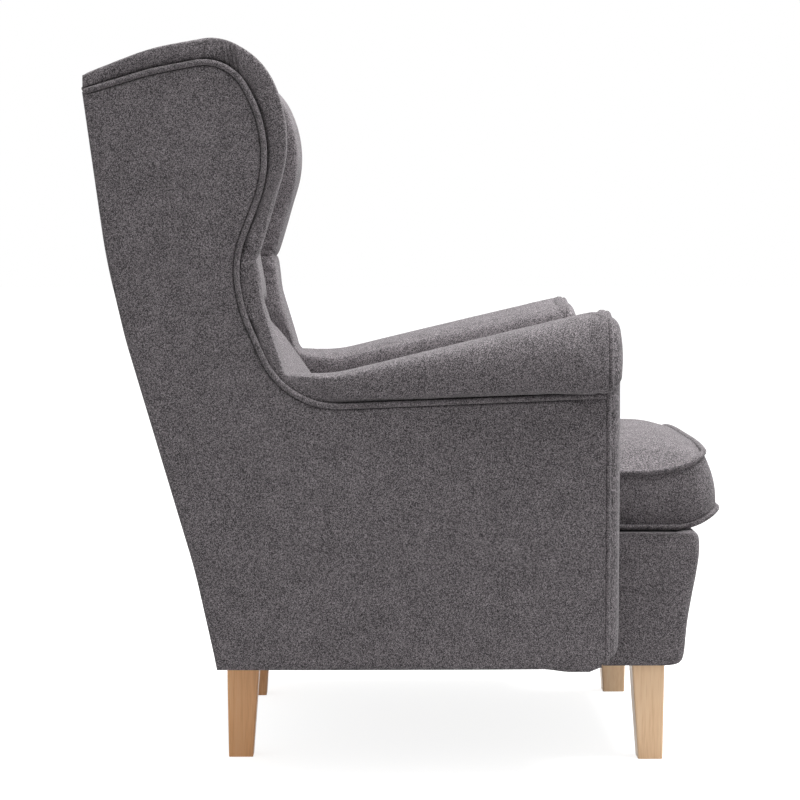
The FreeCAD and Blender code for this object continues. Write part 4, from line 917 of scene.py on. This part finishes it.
PINE = ((0.3, (0.45, 0.29, 0.15)), (0.7, (0.62, 0.45, 0.27)))
PLY = ((0.3, (0.42, 0.28, 0.15)), (0.7, (0.60, 0.44, 0.28)))
ZINC = ((0.3, grey(120)), (0.7, grey(150)))
JUTE = ((0.3, (0.10, 0.09, 0.08)), (0.7, (0.25, 0.22, 0.19)))
FELT = ((0.3, grey(90)), (0.7, grey(130)))
FINISHES = {
    # One leg wood in two copies: a brighter one with painted light for the front legs and a darker, warmer
    # one with painted shade for the rear legs.
    "leg_wood": leg_wood("lit_front_leg_wood", (0.75, 0.465, 0.255), (0.91, 0.61, 0.365), (0.97, 0.705, 0.455)),
    "shaded_rear_leg_wood": leg_wood("shaded_rear_leg_wood", (0.72, 0.33, 0.13), (0.93, 0.48, 0.21), (0.97, 0.56, 0.29)),
    "frame_wood": plain_finish("frame_softwood", (8.0, 60.0, 60.0), PINE, 0.7),
    "plywood": plain_finish("plywood", (400.0, 12.0, 60.0), PLY, 0.7),
    "steel": plain_finish("spring_steel", (300.0, 300.0, 300.0), ZINC, 0.35, 1.0, 0.05),
    "webbing": plain_finish("jute_webbing", (900.0, 900.0, 120.0), JUTE, 0.9),
    "felt": plain_finish("grey_felt", (500.0, 500.0, 500.0), FELT, 1.0),
}


def finish_frame():
    """Gives each shown node the finish of its own slot; the rear legs get the darker, warmer copy of the leg
    wood, which is painted shade.
    """
    for entry in frame["record"]["subparts"]:
        name = entry["node"]
        slot = "shaded_rear_leg_wood" if name.startswith("rear_leg") else entry["material_slot"]
        if slot in FINISHES:
            materials = frame["nodes"][name].data.materials
            materials.clear()
            materials.append(FINISHES[slot])


finish_frame()


# Stage, light and camera

CAMERA_PLACE = (-3.4723, 0.0635, 0.7426)
CAMERA_YAW = -0.014578           # turn to the left of straight across the chair
CAMERA_PITCH = -0.071143
CAMERA_LENS = 102.93
CAMERA_SENSOR = 36.0
FLOOR_HALF = 30.0
FLOOR_TONE = 0.50
FLOOR_GLOW = 0.86                # light that the floor adds for the camera alone
SKY_LEVEL = 0.61                 # world's light on the chair, where the camera sees 1
LAMP_PLACE = (0.1, -0.9, 3.0)
LAMP_AIM = (0.0, 0.0, 0.6)
LAMP_SIZE = 2.4
LAMP_POWER = 152.0
WHITE = (1.0, 1.0, 1.0, 1.0)


def seen_directly(tree):
    """Value of 1 on what the camera sees, also in gloss and glass, and of 0 on what lights the chair."""
    path = add(tree, "LightPath", {})
    seen = path.outputs["Is Camera Ray"]
    for ray in ("Is Glossy Ray", "Is Transmission Ray"):
        seen = add(tree, "Math", {0: seen, 1: path.outputs[ray]}, operation="MAXIMUM").outputs[0]
    return seen


def white_stage():
    """Pale floor that looks white to the camera and keeps the chair's soft shadow."""
    grid = np.linspace(-FLOOR_HALF, FLOOR_HALF, 3)
    x, y = np.meshgrid(grid, grid)
    floor = build("floor", [grid_part(np.stack((x, y, np.zeros_like(x)), axis=2)[:, ::-1])])
    material, tree, shader = new_material("studio_floor")
    tone = (FLOOR_TONE, FLOOR_TONE, FLOOR_TONE, 1.0)
    set_inputs(tree, shader, {"Base Color": tone, "Roughness": 1.0, "Specular IOR Level": 0.0})
    glow = add(tree, "Emission", {"Color": WHITE, "Strength": FLOOR_GLOW})
    both = add(tree, "AddShader", {0: shader.outputs[0], 1: glow.outputs[0]})
    choice = add(tree, "MixShader", {0: seen_directly(tree), 1: shader.outputs[0], 2: both.outputs[0]})
    tree.links.new(choice.outputs[0], tree.nodes["Material Output"].inputs["Surface"])
    floor.data.materials.append(material)


def studio_light():
    """White world for the camera, with a soft level of light for the chair, and one large lamp overhead."""
    world = bpy.data.worlds.new("studio")
    bpy.context.scene.world = world
    world.use_nodes = True
    tree = world.node_tree
    strength = add(tree, "MapRange", {"Value": seen_directly(tree), "To Min": SKY_LEVEL, "To Max": 1.0})
    set_inputs(tree, tree.nodes["Background"], {"Color": WHITE, "Strength": strength.outputs["Result"]})
    light = bpy.data.lights.new("overhead", "AREA")
    light.shape = "SQUARE"
    light.size = LAMP_SIZE
    light.energy = LAMP_POWER
    lamp = bpy.data.objects.new("overhead", light)
    lamp.location = LAMP_PLACE
    lamp.rotation_euler = (Vector(LAMP_AIM) - Vector(LAMP_PLACE)).to_track_quat("-Z", "Y").to_euler()
    bpy.context.scene.collection.objects.link(lamp)


def photo_camera():
    """Camera that looks square at the chair's right side, from a little above its arms."""
    camera = bpy.data.objects.new("camera", bpy.data.cameras.new("camera"))
    camera.data.lens = CAMERA_LENS
    camera.data.sensor_width = CAMERA_SENSOR
    camera.location = CAMERA_PLACE
    level = math.cos(CAMERA_PITCH)
    forward = Vector((level * math.cos(CAMERA_YAW), level * math.sin(CAMERA_YAW), math.sin(CAMERA_PITCH)))
    camera.rotation_euler = forward.to_track_quat("-Z", "Y").to_euler()
    bpy.context.scene.collection.objects.link(camera)
    bpy.context.scene.camera = camera


white_stage()
studio_light()
photo_camera()
bpy.context.scene.view_settings.view_transform = "Standard"
